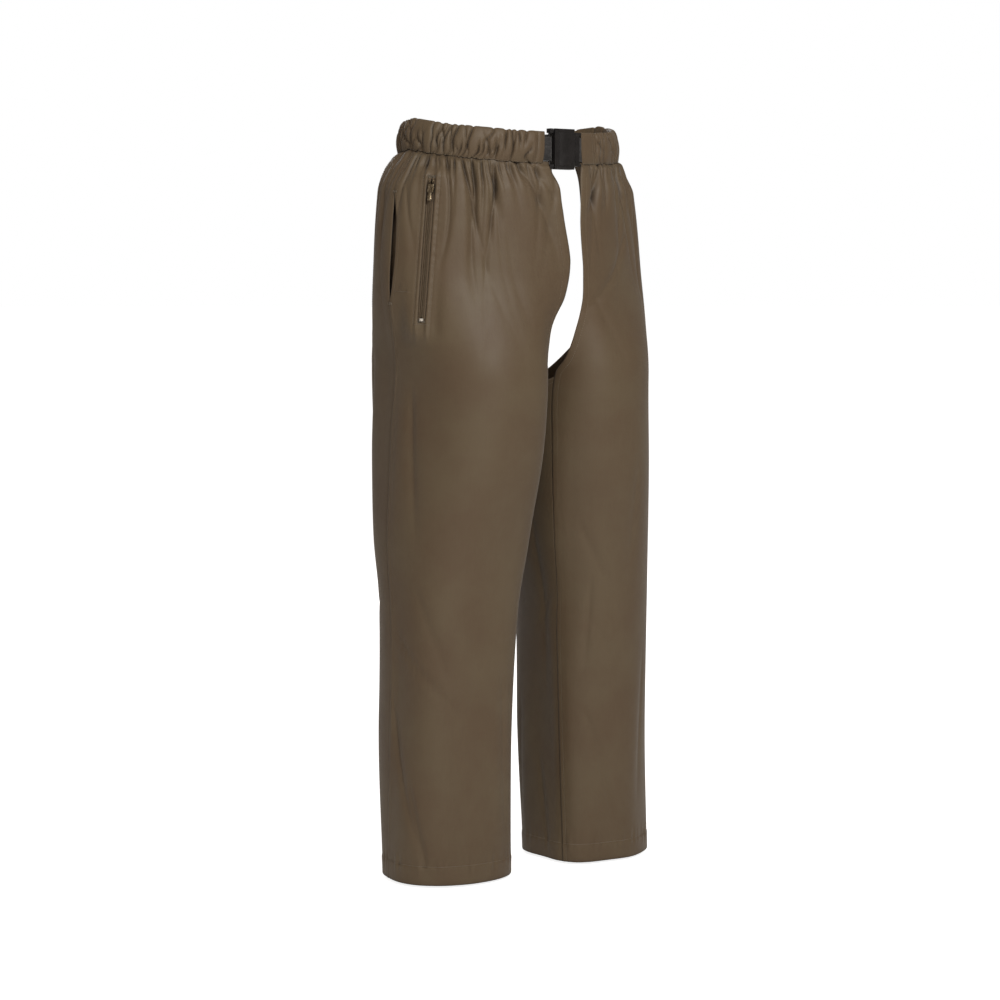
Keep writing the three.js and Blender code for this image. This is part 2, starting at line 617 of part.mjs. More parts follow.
add('zip_slider', sliderGeometry().translate(0, SLIDER_Y, 0), zipMetal, zip);
add('zip_pull', pullGeometry().translate(0, PULL_PIVOT.y, PULL_PIVOT.z), zipMetal, zip);

export default group;
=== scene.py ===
"""Chainsaw chaps: the cloth, trim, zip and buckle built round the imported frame.

Cloth is worked out in millimetres on the same surfaces as the CAD and turned into metres when a mesh
is made. +Z is up, the wearer faces -Y and the wearer's right side is -X. The left leg is drawn as a
right one and mirrored.
"""
import json
import math

import bpy
import numpy as np
from mathutils import Vector
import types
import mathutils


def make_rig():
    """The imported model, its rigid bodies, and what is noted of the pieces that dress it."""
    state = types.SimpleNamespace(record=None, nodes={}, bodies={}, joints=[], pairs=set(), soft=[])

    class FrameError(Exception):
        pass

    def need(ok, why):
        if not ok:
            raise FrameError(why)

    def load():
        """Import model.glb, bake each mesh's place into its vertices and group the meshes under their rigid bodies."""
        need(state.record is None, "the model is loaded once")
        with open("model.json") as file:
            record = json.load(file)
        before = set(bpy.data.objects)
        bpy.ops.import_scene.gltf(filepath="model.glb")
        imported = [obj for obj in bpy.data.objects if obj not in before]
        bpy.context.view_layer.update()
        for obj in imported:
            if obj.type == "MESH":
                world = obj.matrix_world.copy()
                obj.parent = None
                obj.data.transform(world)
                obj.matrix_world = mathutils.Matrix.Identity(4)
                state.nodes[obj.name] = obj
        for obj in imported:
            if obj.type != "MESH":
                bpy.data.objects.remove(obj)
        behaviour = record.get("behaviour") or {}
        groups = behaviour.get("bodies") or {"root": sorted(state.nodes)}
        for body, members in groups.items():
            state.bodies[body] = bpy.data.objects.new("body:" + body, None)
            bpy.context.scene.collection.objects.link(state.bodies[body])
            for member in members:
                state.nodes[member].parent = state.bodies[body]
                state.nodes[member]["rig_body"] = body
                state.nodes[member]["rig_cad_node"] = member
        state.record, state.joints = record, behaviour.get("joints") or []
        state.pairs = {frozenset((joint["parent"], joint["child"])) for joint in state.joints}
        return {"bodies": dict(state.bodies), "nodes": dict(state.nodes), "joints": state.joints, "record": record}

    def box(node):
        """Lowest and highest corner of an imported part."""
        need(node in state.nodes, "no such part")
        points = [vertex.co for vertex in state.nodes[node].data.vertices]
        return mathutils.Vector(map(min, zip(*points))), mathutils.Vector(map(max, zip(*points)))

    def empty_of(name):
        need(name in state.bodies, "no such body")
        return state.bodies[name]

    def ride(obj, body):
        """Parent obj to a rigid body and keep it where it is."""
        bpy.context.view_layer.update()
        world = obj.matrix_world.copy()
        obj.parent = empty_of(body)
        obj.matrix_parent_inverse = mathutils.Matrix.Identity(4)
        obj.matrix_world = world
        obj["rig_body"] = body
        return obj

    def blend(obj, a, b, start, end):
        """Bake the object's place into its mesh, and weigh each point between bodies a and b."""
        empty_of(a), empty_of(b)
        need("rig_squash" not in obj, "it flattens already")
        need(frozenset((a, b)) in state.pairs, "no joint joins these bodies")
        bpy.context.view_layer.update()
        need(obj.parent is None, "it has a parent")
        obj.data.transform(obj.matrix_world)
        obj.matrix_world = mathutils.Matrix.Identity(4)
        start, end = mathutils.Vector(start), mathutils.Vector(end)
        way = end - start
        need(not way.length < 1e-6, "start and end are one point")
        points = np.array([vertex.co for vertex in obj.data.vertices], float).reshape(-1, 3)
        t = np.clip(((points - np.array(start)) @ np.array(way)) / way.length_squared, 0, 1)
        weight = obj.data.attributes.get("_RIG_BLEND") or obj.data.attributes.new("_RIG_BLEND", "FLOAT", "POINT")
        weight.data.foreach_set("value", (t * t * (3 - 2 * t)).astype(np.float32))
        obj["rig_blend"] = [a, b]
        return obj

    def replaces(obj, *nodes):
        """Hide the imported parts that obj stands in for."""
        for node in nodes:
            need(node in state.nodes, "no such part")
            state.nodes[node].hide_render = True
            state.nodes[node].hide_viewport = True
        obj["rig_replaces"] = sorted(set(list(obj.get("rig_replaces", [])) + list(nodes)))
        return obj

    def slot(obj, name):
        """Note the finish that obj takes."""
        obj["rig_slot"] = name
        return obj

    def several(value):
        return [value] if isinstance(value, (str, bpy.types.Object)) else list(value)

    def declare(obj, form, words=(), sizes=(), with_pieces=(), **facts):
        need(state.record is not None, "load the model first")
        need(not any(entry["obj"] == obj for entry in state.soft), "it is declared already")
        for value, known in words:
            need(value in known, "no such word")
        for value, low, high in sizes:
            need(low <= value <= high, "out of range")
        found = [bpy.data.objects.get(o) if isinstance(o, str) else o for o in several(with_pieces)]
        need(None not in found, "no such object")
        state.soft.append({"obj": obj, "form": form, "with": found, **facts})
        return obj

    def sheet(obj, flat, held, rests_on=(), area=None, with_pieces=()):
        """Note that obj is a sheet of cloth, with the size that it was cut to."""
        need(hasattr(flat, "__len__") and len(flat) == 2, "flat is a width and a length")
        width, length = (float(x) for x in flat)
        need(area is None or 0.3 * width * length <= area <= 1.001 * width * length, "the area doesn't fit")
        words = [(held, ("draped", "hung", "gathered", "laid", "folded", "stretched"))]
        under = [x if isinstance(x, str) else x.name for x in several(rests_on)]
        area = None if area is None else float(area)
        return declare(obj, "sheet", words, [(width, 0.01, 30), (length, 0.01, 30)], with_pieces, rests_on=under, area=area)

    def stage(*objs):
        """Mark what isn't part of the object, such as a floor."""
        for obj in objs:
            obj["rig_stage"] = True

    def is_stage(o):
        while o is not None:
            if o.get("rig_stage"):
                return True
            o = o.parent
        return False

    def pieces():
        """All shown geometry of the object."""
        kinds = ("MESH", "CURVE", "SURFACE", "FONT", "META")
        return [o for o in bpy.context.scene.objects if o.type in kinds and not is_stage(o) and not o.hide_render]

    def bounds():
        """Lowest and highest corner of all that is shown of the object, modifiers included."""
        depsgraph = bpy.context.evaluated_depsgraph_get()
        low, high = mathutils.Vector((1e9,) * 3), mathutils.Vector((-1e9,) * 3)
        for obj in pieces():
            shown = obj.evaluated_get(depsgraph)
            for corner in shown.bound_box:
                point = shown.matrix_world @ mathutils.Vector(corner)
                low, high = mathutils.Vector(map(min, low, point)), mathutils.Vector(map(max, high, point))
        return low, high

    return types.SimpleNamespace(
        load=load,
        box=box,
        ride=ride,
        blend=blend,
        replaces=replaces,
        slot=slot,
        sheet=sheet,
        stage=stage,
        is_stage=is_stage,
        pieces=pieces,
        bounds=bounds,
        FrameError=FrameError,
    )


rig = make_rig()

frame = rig.load()
cad_low, cad_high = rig.bounds()

# ---------------------------------------------------------------- dimensions, in millimetres and degrees
MM = 0.001
HEM_Z = -1033.0
BAND_HEIGHT = 38.0
BAND_TOP = -4.4
BAND_FRONT_DIP = 19.0
BAND_BACK_DIP = 9.0
CASING_OVERHANG = 1.8
SEAM_GAP = -0.1                   # degrees; the panels lap over each other at the seams
ARC = 2.05                        # millimetres of cloth for a degree round the thigh

# The body's outline at a height: half width, half depth and centre towards the back.
BODY = [
    [0, 157, 115, 2],
    [-46, 164, 117, 4],
    [-72, 184, 122, 9],
    [-100, 198, 126, 5],
    [-210, 209, 128, 2],
    [-330, 213, 137, 0],
    [-460, 205, 129, 0],
]
# The right leg's outline at a height: axis x and y, then its reach outwards, inwards, ahead and behind.
LEG = [
    [-200, -97, 0, 101, 84, 125, 123],
    [-352, -88, 0, 101, 84, 145, 137],
    [-460, -98, -3, 97, 94, 133, 128],
    [-570, -110, -6, 93, 92, 112, 110],
    [-670, -118, -13, 86, 83, 95, 96],
    [-810, -122, -14, 83, 82, 87, 96],
    [HEM_Z, -125, -20, 83, 85, 77, 83],
]
OUTER_ROUNDNESS = 2.2
INNER_ROUNDNESS = 2.8
LEG_BLEND = (-190, -352)
OUTSEAM = [[-60, 86], [-180, 84.5], [-260, 87], [-450, 97], [-705, 96], [-890, 100], [HEM_Z, 105]]
INSEAM = [[-350, -41], [-450, -47], [-580, -54], [-720, -62], [HEM_Z, -61]]
FRONT_EDGE = {
    "right": [[-60, -35.5], [-140, -37.5], [-200, -40], [-245, -39.5], [-300, -31], [-328, -31.5]] + INSEAM,
    "left": [[-60, -29], [-140, -29.5], [-245, -27], [-300, -30.7], [-328, -34.5]] + INSEAM,
}
SLIT_TOP, SLIT_BOTTOM, SLIT_WIDTH = -105.0, -248.0, 4.5
SEAT_Y = 66.0
SEAT_TOP = -292.0
CROTCH_X = -95.0
CROTCH_TOP = -346.0
ZIP_TOP, ZIP_BOTTOM = -85.0, -275.0
CASING_FRONT = {"right": 9.3, "left": 12.9}
CASING_BACK = 118.0
ELASTIC_FRONT = {"right": 20.5, "left": 22.5}
BUCKLE = np.array([4.0, -113.0, -44.4])
WEBBING_HALF = 16.0
SHELL = 0.8                       # thickness of the shell cloth
NEAR_TOP = -65.0                  # a level near the cloth's upper edge, for its rough layout


# ---------------------------------------------------------------- the cloth's surface, as in the CAD
def at_height(table, z):
    """Smooth values between the rows of a table whose first column is a falling height."""
    rows = np.array(table, float)
    heights, values = rows[:, 0], rows[:, 1:]
    slopes = np.diff(values, axis=0) / np.diff(heights)[:, None]
    tangents = np.zeros_like(values)
    tangents[0], tangents[-1] = slopes[0], slopes[-1]
    product = slopes[:-1] * slopes[1:]
    total = slopes[:-1] + slopes[1:]
    tangents[1:-1] = np.where(product > 0, 2 * product / np.where(product > 0, total, 1), 0)
    z = np.clip(np.asarray(z, float), heights[-1], heights[0])
    i = np.clip(np.searchsorted(-heights, -z, side="right") - 1, 0, len(heights) - 2)
    width = (heights[i + 1] - heights[i])[..., None]
    u = (z[..., None] - heights[i][..., None]) / width
    start, end = values[i], values[i + 1]
    return ((2 * u**3 - 3 * u**2 + 1) * start + (u**3 - 2 * u**2 + u) * width * tangents[i]
            + (3 * u**2 - 2 * u**3) * end + (u**3 - u**2) * width * tangents[i + 1])


def smoothstep(value, low, high):
    t = np.clip((value - low) / (high - low), 0, 1)
    return t * t * (3 - 2 * t)


def lerp(a, b, t):
    return a + (b - a) * t


def surface_point(degrees, z):
    """A point of the right leg's cloth: 0 degrees is straight ahead, 90 outwards, -90 inwards."""
    degrees, z = np.broadcast_arrays(np.asarray(degrees, float), np.asarray(z, float))
    angle = np.radians(degrees)
    axis_x, axis_y, outer, inner, front, behind = np.moveaxis(at_height(LEG, z), -1, 0)
    half_width, half_depth, centre_y = np.moveaxis(at_height(BODY, z), -1, 0)
    side, ahead = np.sin(angle), np.cos(angle)
    dx, dy = -side / half_width, -ahead / half_depth
    ox, oy = axis_x / half_width, (axis_y - centre_y) / half_depth
    a, b, c = dx * dx + dy * dy, ox * dx + oy * dy, ox * ox + oy * oy - 1
    body = (-b + np.sqrt(b * b - a * c)) / a
    power = np.where(side > 0, OUTER_ROUNDNESS, INNER_ROUNDNESS)
    across = np.abs(side) / np.where(side > 0, outer, inner)
    along = np.abs(ahead) / np.where(ahead > 0, front, behind)
    leg = (across**power + along**power) ** (-1 / power)
    reach = lerp(body, leg, smoothstep(-z, -LEG_BLEND[0], -LEG_BLEND[1]))
    return np.stack([axis_x - reach * side, axis_y - reach * ahead, z], axis=-1)


def unit(v):
    return v / np.linalg.norm(v, axis=-1, keepdims=True)


def surface_normal(degrees, z):
    round_ = surface_point(degrees + 1.0, z) - surface_point(degrees - 1.0, z)
    down = surface_point(degrees, z - 4.0) - surface_point(degrees, z + 4.0)
    return unit(np.cross(round_, down))


def offset_point(degrees, z, distance):
    degrees, z = np.broadcast_arrays(np.asarray(degrees, float), np.asarray(z, float))
    return surface_point(degrees, z) + surface_normal(degrees, z) * np.asarray(distance)[..., None]


def band_top(degrees):
    """Height of the waistband's upper edge; degrees round the waist, 0 in front, 90 the wearer's right."""
    ahead = np.cos(np.radians(degrees))
    return BAND_TOP - np.where(ahead > 0, BAND_FRONT_DIP, BAND_BACK_DIP) * np.abs(ahead)


def band_point(degrees, depth, distance):
    """A point of the right half of the band, below its upper edge and outside its middle surface."""
    angle = np.radians(degrees)
    z = band_top(degrees) - depth
    half_width, half_depth, centre_y = np.moveaxis(at_height(BODY, z), -1, 0)
    x = -(half_width + distance) * np.sin(angle)
    return np.stack([x, centre_y - (half_depth + distance) * np.cos(angle), z], axis=-1)


def edge_at(side, z):
    """Degrees of a front panel's free edge, and lower down of its inseam, at a height."""
    return at_height(FRONT_EDGE[side], z)[..., 0]


def seam_at(z):
    """Degrees of the outseam at a height."""
    return at_height(OUTSEAM, z)[..., 0]


def cloth_top(degrees):
    """Height of the seam under the band at a place round the leg."""
    p = surface_point(degrees, NEAR_TOP)
    half_width, half_depth, centre_y = at_height(BODY, NEAR_TOP)
    round_ = np.degrees(np.arctan2(p[..., 0] / half_width, (centre_y - p[..., 1]) / half_depth))
    return band_top(round_) - BAND_HEIGHT - CASING_OVERHANG - 1.2


# ---------------------------------------------------------------- meshes from numbered points
def add_object(name, data):
    made = bpy.data.objects.new(name, data)
    bpy.context.scene.collection.objects.link(made)
    return made


def make_mesh(name, points, faces, uv=None):
    """A mesh object from points in millimetres; points that no face uses are dropped."""
    used, index = np.unique(faces, return_inverse=True)
    faces = index.reshape(faces.shape)
    mesh = bpy.data.meshes.new(name)
    mesh.from_pydata((points[used] * MM).tolist(), [], faces.tolist())
    if uv is not None:
        layer = mesh.uv_layers.new(name="cloth")
        layer.data.foreach_set("uv", (uv[used] * MM)[faces.ravel()].astype(np.float32).ravel())
    mesh.polygons.foreach_set("use_smooth", [True] * len(mesh.polygons))
    mesh.validate()
    mesh.update()
    return add_object(name, mesh)


def grid_faces(points, keep=None, closed=False):
    """Quads of a grid of points; closed joins the last column to the first, keep picks some of them."""
    rows, wide = len(points) - 1, points.shape[1]
    j, i = np.meshgrid(np.arange(rows), np.arange(wide if closed else wide - 1), indexing="ij")
    right = (i + 1) % wide
    faces = np.stack([j * wide + i, (j + 1) * wide + i, (j + 1) * wide + right, j * wide + right], axis=-1)
    return faces[keep] if keep is not None else faces.reshape(-1, 4)


def thicken(outer, inner, faces):
    """Points and faces of a closed sheet between two layers of the same grid."""
    count = len(outer)
    edges = np.concatenate([faces[:, [k, (k + 1) % 4]] for k in range(4)])
    code = np.sort(edges, axis=1) @ np.array([count, 1])
    _, first, times = np.unique(code, return_index=True, return_counts=True)
    rim = edges[first[times == 1]]
    rims = np.stack([rim[:, 1], rim[:, 0], rim[:, 0] + count, rim[:, 1] + count], axis=1)
    return np.concatenate([outer, inner]), np.concatenate([faces, faces[:, ::-1] + count, rims])


def for_side(side, points, faces):
    """Right-hand geometry, or the same mirrored through the middle plane."""
    if side == "right":
        return points, faces
    return points * np.array([-1.0, 1.0, 1.0]), faces[:, ::-1]


def tube_faces(rings):
    """Quads of a closed tube through rings of four points."""
    quads = [[4 * r + k, 4 * r + (k + 1) % 4, 4 * r + 4 + (k + 1) % 4, 4 * r + 4 + k]
             for r in range(rings - 1) for k in range(4)]
    last = 4 * (rings - 1)
    return np.array(quads + [[3, 2, 1, 0], [last, last + 1, last + 2, last + 3]])


def finish_piece(piece, material, body, slot, replaced=()):
    piece.data.materials.append(material)
    if body:
        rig.ride(piece, body)
    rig.slot(piece, slot)
    if replaced:
        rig.replaces(piece, *replaced)
    return piece


def sheet_area(points, grid):
    """Area in square metres of one layer of a grid's faces."""
    a, b, c, d = (points[grid[:, k]] for k in range(4))
    halves = np.linalg.norm(np.cross(c - a, d - b), axis=1) / 2
    return float(halves.sum()) * MM * MM


# ---------------------------------------------------------------- materials
def linear(red, green, blue):
    """A colour for a shader from its three values from 0 to 255."""
    def one(value):
        v = value / 255
        return v / 12.92 if v <= 0.04045 else ((v + 0.055) / 1.055) ** 2.4
    return (one(red), one(green), one(blue), 1.0)


class Look:
    """A material being put together out of nodes."""

    def __init__(self, name, **settings):
        self.material = bpy.data.materials.new(name)
        self.material.use_nodes = True
        self.tree = self.material.node_tree
        self.shader = self.tree.nodes["Principled BSDF"]
        for key, value in settings.items():
            self.shader.inputs[key.replace("_", " ")].default_value = value

    def node(self, kind, sockets=None, **settings):
        made = self.tree.nodes.new(kind)
        for key, value in settings.items():
            setattr(made, key, value)
        for key, value in (sockets or {}).items():
            self.feed(made.inputs[key], value)
        return made

    def feed(self, socket, value):
        if isinstance(value, bpy.types.NodeSocket):
            self.tree.links.new(value, socket)
        else:
            socket.default_value = value

    def place(self, scale, kind="UV"):
        where = self.node("ShaderNodeTexCoord").outputs[kind]
        return self.node("ShaderNodeMapping", {"Vector": where, "Scale": scale}).outputs["Vector"]

    def noise(self, vector, scale=1.0, detail=3.0, rough=0.55):
        settings = {"Vector": vector, "Scale": scale, "Detail": detail, "Roughness": rough}
        return self.node("ShaderNodeTexNoise", settings).outputs["Fac"]

    def ramp(self, value, *stops):
        made = self.node("ShaderNodeValToRGB", {"Fac": value})
        elements = made.color_ramp.elements
        while len(elements) < len(stops):
            elements.new(0.5)
        for element, (position, color) in zip(elements, stops):
            element.position = position
            element.color = color
        return made.outputs["Color"]

    def mix(self, factor, a, b, blend="MIX"):
        made = self.node("ShaderNodeMix", data_type="RGBA", blend_type=blend)
        for key, value in (("Factor", factor), ("A", a), ("B", b)):
            self.feed(next(s for s in made.inputs if s.name == key and s.enabled), value)
        return next(s for s in made.outputs if s.enabled)

    def math(self, operation, a, b):
        return self.node("ShaderNodeMath", {0: a, 1: b}, operation=operation).outputs[0]

    def bands(self, vector, direction, scale):
        settings = {"Vector": vector, "Scale": scale}
        return self.node("ShaderNodeTexWave", settings, bands_direction=direction).outputs["Fac"]

    def bump(self, height, strength, distance, below=None):
        sockets = {"Height": height, "Strength": strength, "Distance": distance}
        if below is not None:
            sockets["Normal"] = below
        return self.node("ShaderNodeBump", sockets).outputs["Normal"]

    def color(self, socket):
        self.tree.links.new(socket, self.shader.inputs["Base Color"])

    def normal(self, socket):
        self.tree.links.new(socket, self.shader.inputs["Normal"])

    def roughness(self, value, low, high):
        made = self.node("ShaderNodeMapRange", {"Value": value, "To Min": low, "To Max": high})
        self.tree.links.new(made.outputs["Result"], self.shader.inputs["Roughness"])


WAVE = 0.314                      # the wave texture's period at a scale of 1
PAINTED_SHADE_REACH = 0.014          # metres round a point in which folds add painted shade to its colour


def woven(name, light, dark, thread, rough, sheen=0.15, bump=0.35):
    """Plain weave: threads both ways, slubs along the warp, slow changes of tone, and painted shade that darkens the
    colour in folds, creases and hollows.
    """
    look = Look(name, Sheen_Weight=sheen, Sheen_Roughness=0.45, Specular_IOR_Level=0.36)
    metric = look.place((1, 1, 1))
    tone = look.noise(metric, 9.0, 5.0, 0.6)
    slub = look.noise(look.place((900, 26, 1)), 1.0, 2.0)
    grain = look.noise(look.place((1500, 1500, 1)), 1.0, 1.0)
    base = look.ramp(tone, (0.38, dark), (0.62, light))
    streaked = look.mix(0.16, base, look.ramp(slub, (0.35, dark), (0.65, light)))
    speckled = look.mix(0.14, streaked, look.ramp(grain, (0.3, (0.02, 0.017, 0.013, 1)), (0.7, light)))
    # Painted shade: occlusion darkens the base colour in folds, creases, seams and hollows, where shade falls.
    painted_shade_ao = look.node("ShaderNodeAmbientOcclusion", {"Distance": PAINTED_SHADE_REACH}, samples=6)
    painted_shade = look.ramp(painted_shade_ao.outputs["AO"], (0.38, (0.2, 0.17, 0.15, 1)), (0.86, (1, 1, 1, 1)))
    look.color(look.mix(1.0, speckled, painted_shade, "MULTIPLY"))
    warp = look.bands(metric, "X", WAVE / thread)
    weft = look.bands(metric, "Y", WAVE / thread)
    cloth = look.math("ADD", look.math("MULTIPLY", warp, 0.5), look.math("MULTIPLY", weft, 0.5))
    weave = look.bump(cloth, bump, thread * 0.22)
    look.normal(look.bump(look.noise(look.place((160, 60, 1)), 1.0, 4.0), 0.12, 0.0012, weave))
    look.roughness(look.noise(metric, 40.0, 3.0), rough - 0.06, rough + 0.08)
    return look.material


shell_cloth = woven("shell_cloth", linear(97, 83, 63), linear(91, 74, 55), 0.00045, 0.53, 0.1)
lining_cloth = woven("lining_cloth", linear(88, 77, 62), linear(72, 62, 50), 0.0006, 0.74)
ply_cloth = woven("pad_fibre", linear(222, 216, 198), linear(198, 190, 170), 0.0022, 0.9, 0.4, 0.9)
# Painted light: the tape's colour is partly its own and partly raised to make up for the shade of the welts over it.
tape_cloth_lightened = woven("zip_tape", linear(118, 101, 79), linear(106, 90, 70), 0.0007, 0.75)


def ribbed(name, light, dark, rough):
    """Black narrow fabric, with its cross threads and a little dust in the hollows."""
    look = Look(name, Sheen_Weight=0.2, Specular_IOR_Level=0.3)
    metric = look.place((1, 1, 1))
    dust = look.noise(look.place((240, 240, 1)), 1.0, 4.0)
    look.color(look.ramp(dust, (0.35, dark), (0.75, light)))
    rows = look.bump(look.bands(metric, "X", WAVE / 0.0009), 0.5, 0.0002)
    look.normal(look.bump(look.bands(metric, "Y", WAVE / 0.0006), 0.3, 0.00012, rows))
    look.roughness(dust, rough - 0.08, rough + 0.08)
    return look.material


elastic_black = ribbed("black_elastic", linear(52, 50, 50), linear(26, 25, 26), 0.82)
webbing_black = ribbed("black_webbing", linear(60, 58, 58), linear(28, 27, 28), 0.72)


def solid(name, grain, stops, relief, rough, fine=None, **settings):
    """A hard material: one noise sets its tone and roughness, and that or a finer one its relief."""
    look = Look(name, **settings)
    place = look.place((1, 1, 1), "Object")
    tone = look.noise(place, *grain)
    look.color(look.ramp(tone, *stops))
    look.normal(look.bump(look.noise(place, *fine) if fine else tone, *relief))
    look.roughness(tone, *rough)
    return look.material


def metal(name, main, worn):
    """Metal under a worn enamel."""
    return solid(name, (420.0, 4.0), ((0.5, main), (0.72, worn)), (0.2, 0.0001), (0.24, 0.46),
                 Metallic=0.9, Specular_IOR_Level=0.5)


plastic_black = solid("black_plastic", (90.0, 5.0), ((0.35, linear(18, 17, 18)), (0.75, linear(30, 28, 29))),
                      (0.25, 0.00008), (0.26, 0.4), (1600.0, 2.0), Specular_IOR_Level=0.5)
zip_metal = metal("zip_metal", linear(104, 91, 72), linear(168, 156, 134))
stop_metal = metal("zip_stop_metal", linear(196, 192, 184), linear(226, 223, 216))
# Painted light: the coil's colour is partly its own and partly raised to make up for the shade it lies in between the
# welts.
zip_coil = solid("zip_coil", (700.0, 2.0), ((0.3, linear(92, 78, 61)), (0.7, linear(116, 100, 79))),
                 (0.2, 0.00006), (0.38, 0.5), Specular_IOR_Level=0.5)
thread_brown = solid("thread", (2600.0, 1.0), ((0.3, linear(96, 83, 65)), (0.7, linear(132, 117, 95))),
                     (0.4, 0.0001), (0.55, 0.7), Sheen_Weight=0.3)


# ---------------------------------------------------------------- relief of the cloth
def crease(x, width):
    """The section of a crease: sharp at the bottom and rounded on both shoulders."""
    return np.exp(-np.sqrt(x * x + 0.35) / width)


def gathers(seed, first, last, spacing, deep):
    """Creases that start at the waist seam: angle, slant, reach, depth and width of each."""
    rng = np.random.default_rng(seed)
    rows = []
    angle = first
    while angle < last:
        long = rng.random() < 0.28
        reach = rng.uniform(60, 120) if long else rng.uniform(14, 42)
        slant = rng.normal(0, 0.13)
        rows.append([angle, slant, reach, deep * rng.uniform(0.55, 1.25), rng.uniform(0.9, 2.2)])
        angle += spacing * rng.uniform(0.3, 1.8)
    return rows


def gather_relief(lines, degrees, z, top):
    """Height of the gathers over the smooth cloth, in millimetres."""
    below = np.maximum(top - z, 0)
    total = 5.4 * np.exp(-below / 26)
    for angle, slant, reach, depth, width in lines:
        x = (degrees - angle) * ARC - slant * below
        fade = np.exp(-((below / reach) ** 1.4))
        total = total - depth * fade * crease(x, width + 0.03 * below)
    return total * smoothstep(below, -2, 7) - 0.7 * np.exp(-below / 2.0)


FOLD_SCALE = 2.5


def long_folds(folds, degrees, z):
    """Creases from one place on the cloth to another: (angle, height) twice, depth, width and bow."""
    total = 0
    for from_angle, from_z, to_angle, to_z, depth, width, bow in folds:
        t = (from_z - z) / (from_z - to_z)
        centre = lerp(from_angle, to_angle, t) + bow * 4 * t * (1 - t)
        x = (degrees - centre) * ARC
        fade = smoothstep(t, -0.18, 0.16) * (1 - smoothstep(t, 0.62, 1.15))
        spread = width * (0.75 + 0.5 * np.clip(t, 0, 1.2))
        valley = np.exp(-np.sqrt(x * x + (0.22 * spread) ** 2) / spread)
        total = total - FOLD_SCALE * depth * fade * (valley - 0.42 * np.exp(-((x / (2.6 * spread)) ** 2)))
    return total


def soft_drape(seed, degrees, z):
    """Broad shallow waves that run mostly down the leg."""
    rng = np.random.default_rng(seed)
    total = np.zeros(np.broadcast(degrees, z).shape)
    for _ in range(9):
        turn = rng.uniform(2.2, 6.5)
        fall = rng.normal(0, 0.006)
        phase, phase2 = rng.uniform(0, 2 * math.pi, 2)
        size = rng.uniform(0.5, 1.0)
        slow = 0.6 + 0.4 * np.sin(z * rng.uniform(0.006, 0.013) + phase2)
        total = total + size * slow * np.sin(np.radians(degrees) * turn + z * fall + phase)
    return total * 1.3


def puckers(degrees, z, line, reach, pitch, size, seed):
    """Small ripples that cross a seam at the height or angle given by line."""
    rng = np.random.default_rng(seed)
    wave = sum(rng.uniform(0.4, 1) * np.sin(degrees * ARC * 2 * math.pi / (pitch * s) + rng.uniform(0, 6.28))
               for s in (1, 1.37, 0.73))
    return size * wave * np.exp(-(((z - line) / reach) ** 2))


RIGHT_FOLDS = [
    [-15.5, -58, -34, -193, 4.2, 7.5, -3],
    [-24, -60, -36, -120, 2.4, 5, 0],
    [41.5, -58, 46, -205, 3.6, 5.0, -6],
    [2.7, -62, -2, -150, 2.2, 7, 0],
    [14, -62, 23, -240, 2.2, 8.5, 2],
    [24, -90, 21, -262, 1.8, 7, -2],
    [-5, -150, -12, -300, 1.2, 11, 0],
    [75, -84, 56, -215, 1.7, 6, 3],
    [66, -62, 63, -110, 2.2, 4, 0],
    [79, -226, 62, -240, 1.2, 3, 0],
    [72, -380, 62, -560, 2.8, 13, 2],
    [84, -700, 22, -800, 1.6, 10, 0],
    [60, -640, 30, -760, 1.2, 14, 0],
    [92, -800, 55, -1000, 2.2, 11, 4],
    [68, -905, 50, -1030, 1.7, 10, 0],
    [-20, -760, -34, -1000, 1.4, 12, 0],
    [30, -880, 20, -1028, 1.0, 14, 0],
]
LEFT_FOLDS = [
    [-7.4, -54, -8.4, -128, 3.6, 4.5, 0],
    [-11.4, -54, -24, -135, 4.2, 5.5, 0],
    [21, -54, 28.4, -132, 4.4, 5.5, 0],
    [6, -60, 8, -175, 1.8, 8, 0],
    [15, -160, -26, -262, 2.0, 10, 4],
    [-20, -235, 2, -330, 1.2, 10, 0],
    [45, -60, 40, -170, 2.2, 8, 0],
    [-33, -560, -14, -650, 1.4, 10, 0],
    [-30, -640, -38, -760, 1.6, 8, 0],
    [-26, -700, 10, -800, 1.4, 12, 0],
    [-38, -820, -20, -900, 1.3, 10, 0],
    [-28, -880, -10, -985, 1.5, 9, 0],
    [10, -480, 4, -640, 1.5, 14, 0],
    [30, -760, 24, -960, 1.5, 14, 0],
    [60, -430, 66, -620, 1.6, 14, 0],
]
BACK_FOLDS = [
    [110, -60, 118, -200, 2.4, 7, 0],
    [97, -62, 99, -150, 2.0, 5, 0],
    [128, -330, 150, -480, 2.0, 12, 0],
    [176, -390, 182, -560, 2.2, 13, 3],
    [225, -390, 214, -520, 1.8, 12, 0],
    [262, -388, 250, -470, 1.6, 9, 0],
    [160, -600, 214, -690, 2.2, 9, 0],
    [200, -640, 150, -720, 1.8, 9, 0],
    [120, -640, 172, -735, 1.4, 11, 0],
    [140, -800, 150, -1000, 1.8, 13, 0],
    [196, -760, 206, -1000, 1.6, 14, 0],
    [240, -820, 236, -1010, 1.6, 13, 0],
    [285, -560, 280, -800, 1.6, 13, 0],
    [300, -640, 268, -720, 1.3, 9, 0],
    [268, -900, 280, -1028, 1.4, 10, 0],
]
GATHERS = {
    "right": gathers(11, -37, 84, 5.2, 9.0),
    "left": gathers(23, -30, 84, 5.2, 9.0),
    "back_right": gathers(31, 88, 130, 5.2, 7.5),
    "back_left": gathers(37, 88, 130, 5.2, 7.5),
}
SEEDS = {"right": 5, "left": 17, "back_right": 41, "back_left": 53}
HEM_STITCH = 26.0                 # the hem is stitched this far above its edge


